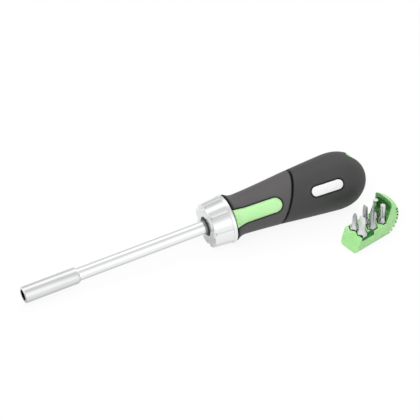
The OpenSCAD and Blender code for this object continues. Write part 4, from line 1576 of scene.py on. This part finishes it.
@dataclass
class Studio:
    """Pale floor, white surroundings, soft lamps and the camera. The bands and the reflected shadow tones are
    pairs of a
    place and a grey: across the sky from north to south, and for the floor's painted shadow, away from the tool."""
    floor_z: float
    look_down_deg: float = 41.0
    look_along_deg: float = 26.72
    distance: float = 2.0
    focal_mm: float = 254.7
    sensor_mm: float = 36.0
    clip_m: float = 50.0
    aim: tuple = (0.130, -0.015, 0.0)
    right_of_aim: float = 0.000875
    above_aim: float = 0.02686
    bands: tuple = (
        (0.0, 0.46), (0.05, 0.5), (0.13, 0.66), (0.22, 0.94), (0.36, 0.92), (0.46, 0.62), (0.58, 0.52),
        (0.7, 0.58), (0.8, 0.7), (0.88, 0.84), (0.96, 0.88), (1.0, 0.84))
    band_strength: float = 1.3
    soft_strength: float = 0.62
    # Painted shadow that reflections see on the floor: greys by distance across from the tool, in steps of
    # reflected_shadow_m.
    reflected_shadow_tones: tuple = (
        (0.0, 0.56), (0.06, 0.6), (0.09, 0.7), (0.13, 0.8), (0.2, 0.88), (0.4, 0.92), (1.0, 0.94))
    reflected_shadow_m: float = 0.1
    floor_half_m: float = 6.0
    floor_color: tuple = (0.8, 0.8, 0.8, 1.0)
    floor_glow: float = 0.9
    lamps: tuple = (Lamp("key", (-0.3, -0.5, 0.9), 0.6, 7.0), Lamp("top", (0.35, 0.35, 1.0), 0.8, 4.8))

    def camera(self) -> None:
        """Puts the camera at the photograph's viewing angle."""
        e, a = math.radians(self.look_down_deg), -math.radians(self.look_along_deg)
        look = np.array([-math.sin(a) * math.cos(e), math.cos(a) * math.cos(e), -math.sin(e)])
        right = np.array([math.cos(a), math.sin(a), 0.0])
        up = np.cross(right, look)
        centre = np.array(self.aim) + right * self.right_of_aim + up * self.above_aim
        data = bpy.data.cameras.new("camera")
        data.lens = self.focal_mm
        data.sensor_width = self.sensor_mm
        data.clip_end = self.clip_m
        made = add_object("camera", data)
        stand(made, right, up, -look, centre - look * self.distance)
        bpy.context.scene.camera = made

    def floor(self) -> None:
        """A wide pale floor. To the camera it is mostly white light of its own, so that only a faint
        shadow shows; in reflections it shows a painted shadow, a grey that brightens away from the tool."""
        mesh = bpy.data.meshes.new("floor")
        s = self.floor_half_m
        mesh.from_pydata([(x, y, self.floor_z) for x, y in ((-s, -s), (s, -s), (s, s), (-s, s))],
                         [], [(0, 1, 2, 3)])
        piece = add_object("floor", mesh)
        paint = Paint("floor")
        matt = paint.node("ShaderNodeBsdfDiffuse", {}, {"Color": self.floor_color})
        # Painted shadow for reflections: the grey is darkest along the tool and brightens with the distance across
        # from it.
        across = paint.node("ShaderNodeSeparateXYZ", {}, {0: paint.place()}, 1)
        away = (across | across * -1.0) * (1.0 / self.reflected_shadow_m)
        tones = paint.node("ShaderNodeValToRGB", {"stops": self.reflected_shadow_tones}, {0: away})
        dim = paint.node("ShaderNodeEmission", {}, {"Color": tones})
        glow = paint.node("ShaderNodeEmission", {}, {"Color": WHITE})
        paint.finish_by_ray(matt, dim, glow, self.floor_glow)
        mesh.materials.append(paint.material)

    def world(self) -> None:
        """White to the camera, banded in reflections like a room's lit and unlit sides, a soft light."""
        world = bpy.data.worlds.new("studio")
        bpy.context.scene.world = world
        world.use_nodes = True
        bench = Bench(world.node_tree, "ShaderNodeOutputWorld")
        way = bench.node("ShaderNodeTexCoord", {}, {}, "Generated")
        north = bench.node("ShaderNodeSeparateXYZ", {}, {0: way}, 1)
        bands = bench.node("ShaderNodeValToRGB", {"stops": self.bands}, {0: 0.5 - north * 0.5})
        soft, banded, white = (
            bench.node("ShaderNodeBackground", {}, {"Color": color, "Strength": strength})
            for color, strength in ((WHITE, self.soft_strength), (bands, self.band_strength), (WHITE, 1.0)))
        bench.finish_by_ray(soft, banded, white)

    def light(self, lamp: Lamp) -> None:
        """Puts up a lamp, aimed at the tool, that reflections don't show.

        Args:
            lamp: the lamp.
        """
        data = bpy.data.lights.new(lamp.name, "AREA")
        data.size = lamp.size
        data.energy = lamp.power
        made = add_object(lamp.name, data)
        made.visible_glossy = False
        back = np.array(lamp.spot) - np.array(self.aim)
        back /= np.linalg.norm(back)
        right = np.cross([0.0, 0.0, 1.0], back)
        right /= np.linalg.norm(right)
        stand(made, right, np.cross(back, right), back, lamp.spot)

    def build(self) -> None:
        """Sets up all of it."""
        self.camera()
        self.floor()
        self.world()
        for lamp in self.lamps:
            self.light(lamp)
        bpy.context.scene.view_settings.view_transform = "Standard"


def main() -> None:
    """Builds the studio and each sub-assembly in order."""
    logging.basicConfig(level=logging.INFO, format="%(message)s")
    Studio(cad_box[0][2]).build()
    shop = Workshop()
    shop.dress_frame()
    axes, seam = tool_axes()
    form = HandleForm()
    BitHolder(axes).build(shop)
    SelectorCollar(axes).build(shop)
    FrontHandle(form, axes, seam).build(shop)
    RearHandle(form, axes, seam).build(shop)
    Cartridge().build(shop)


if __name__ == "__main__":
    main()
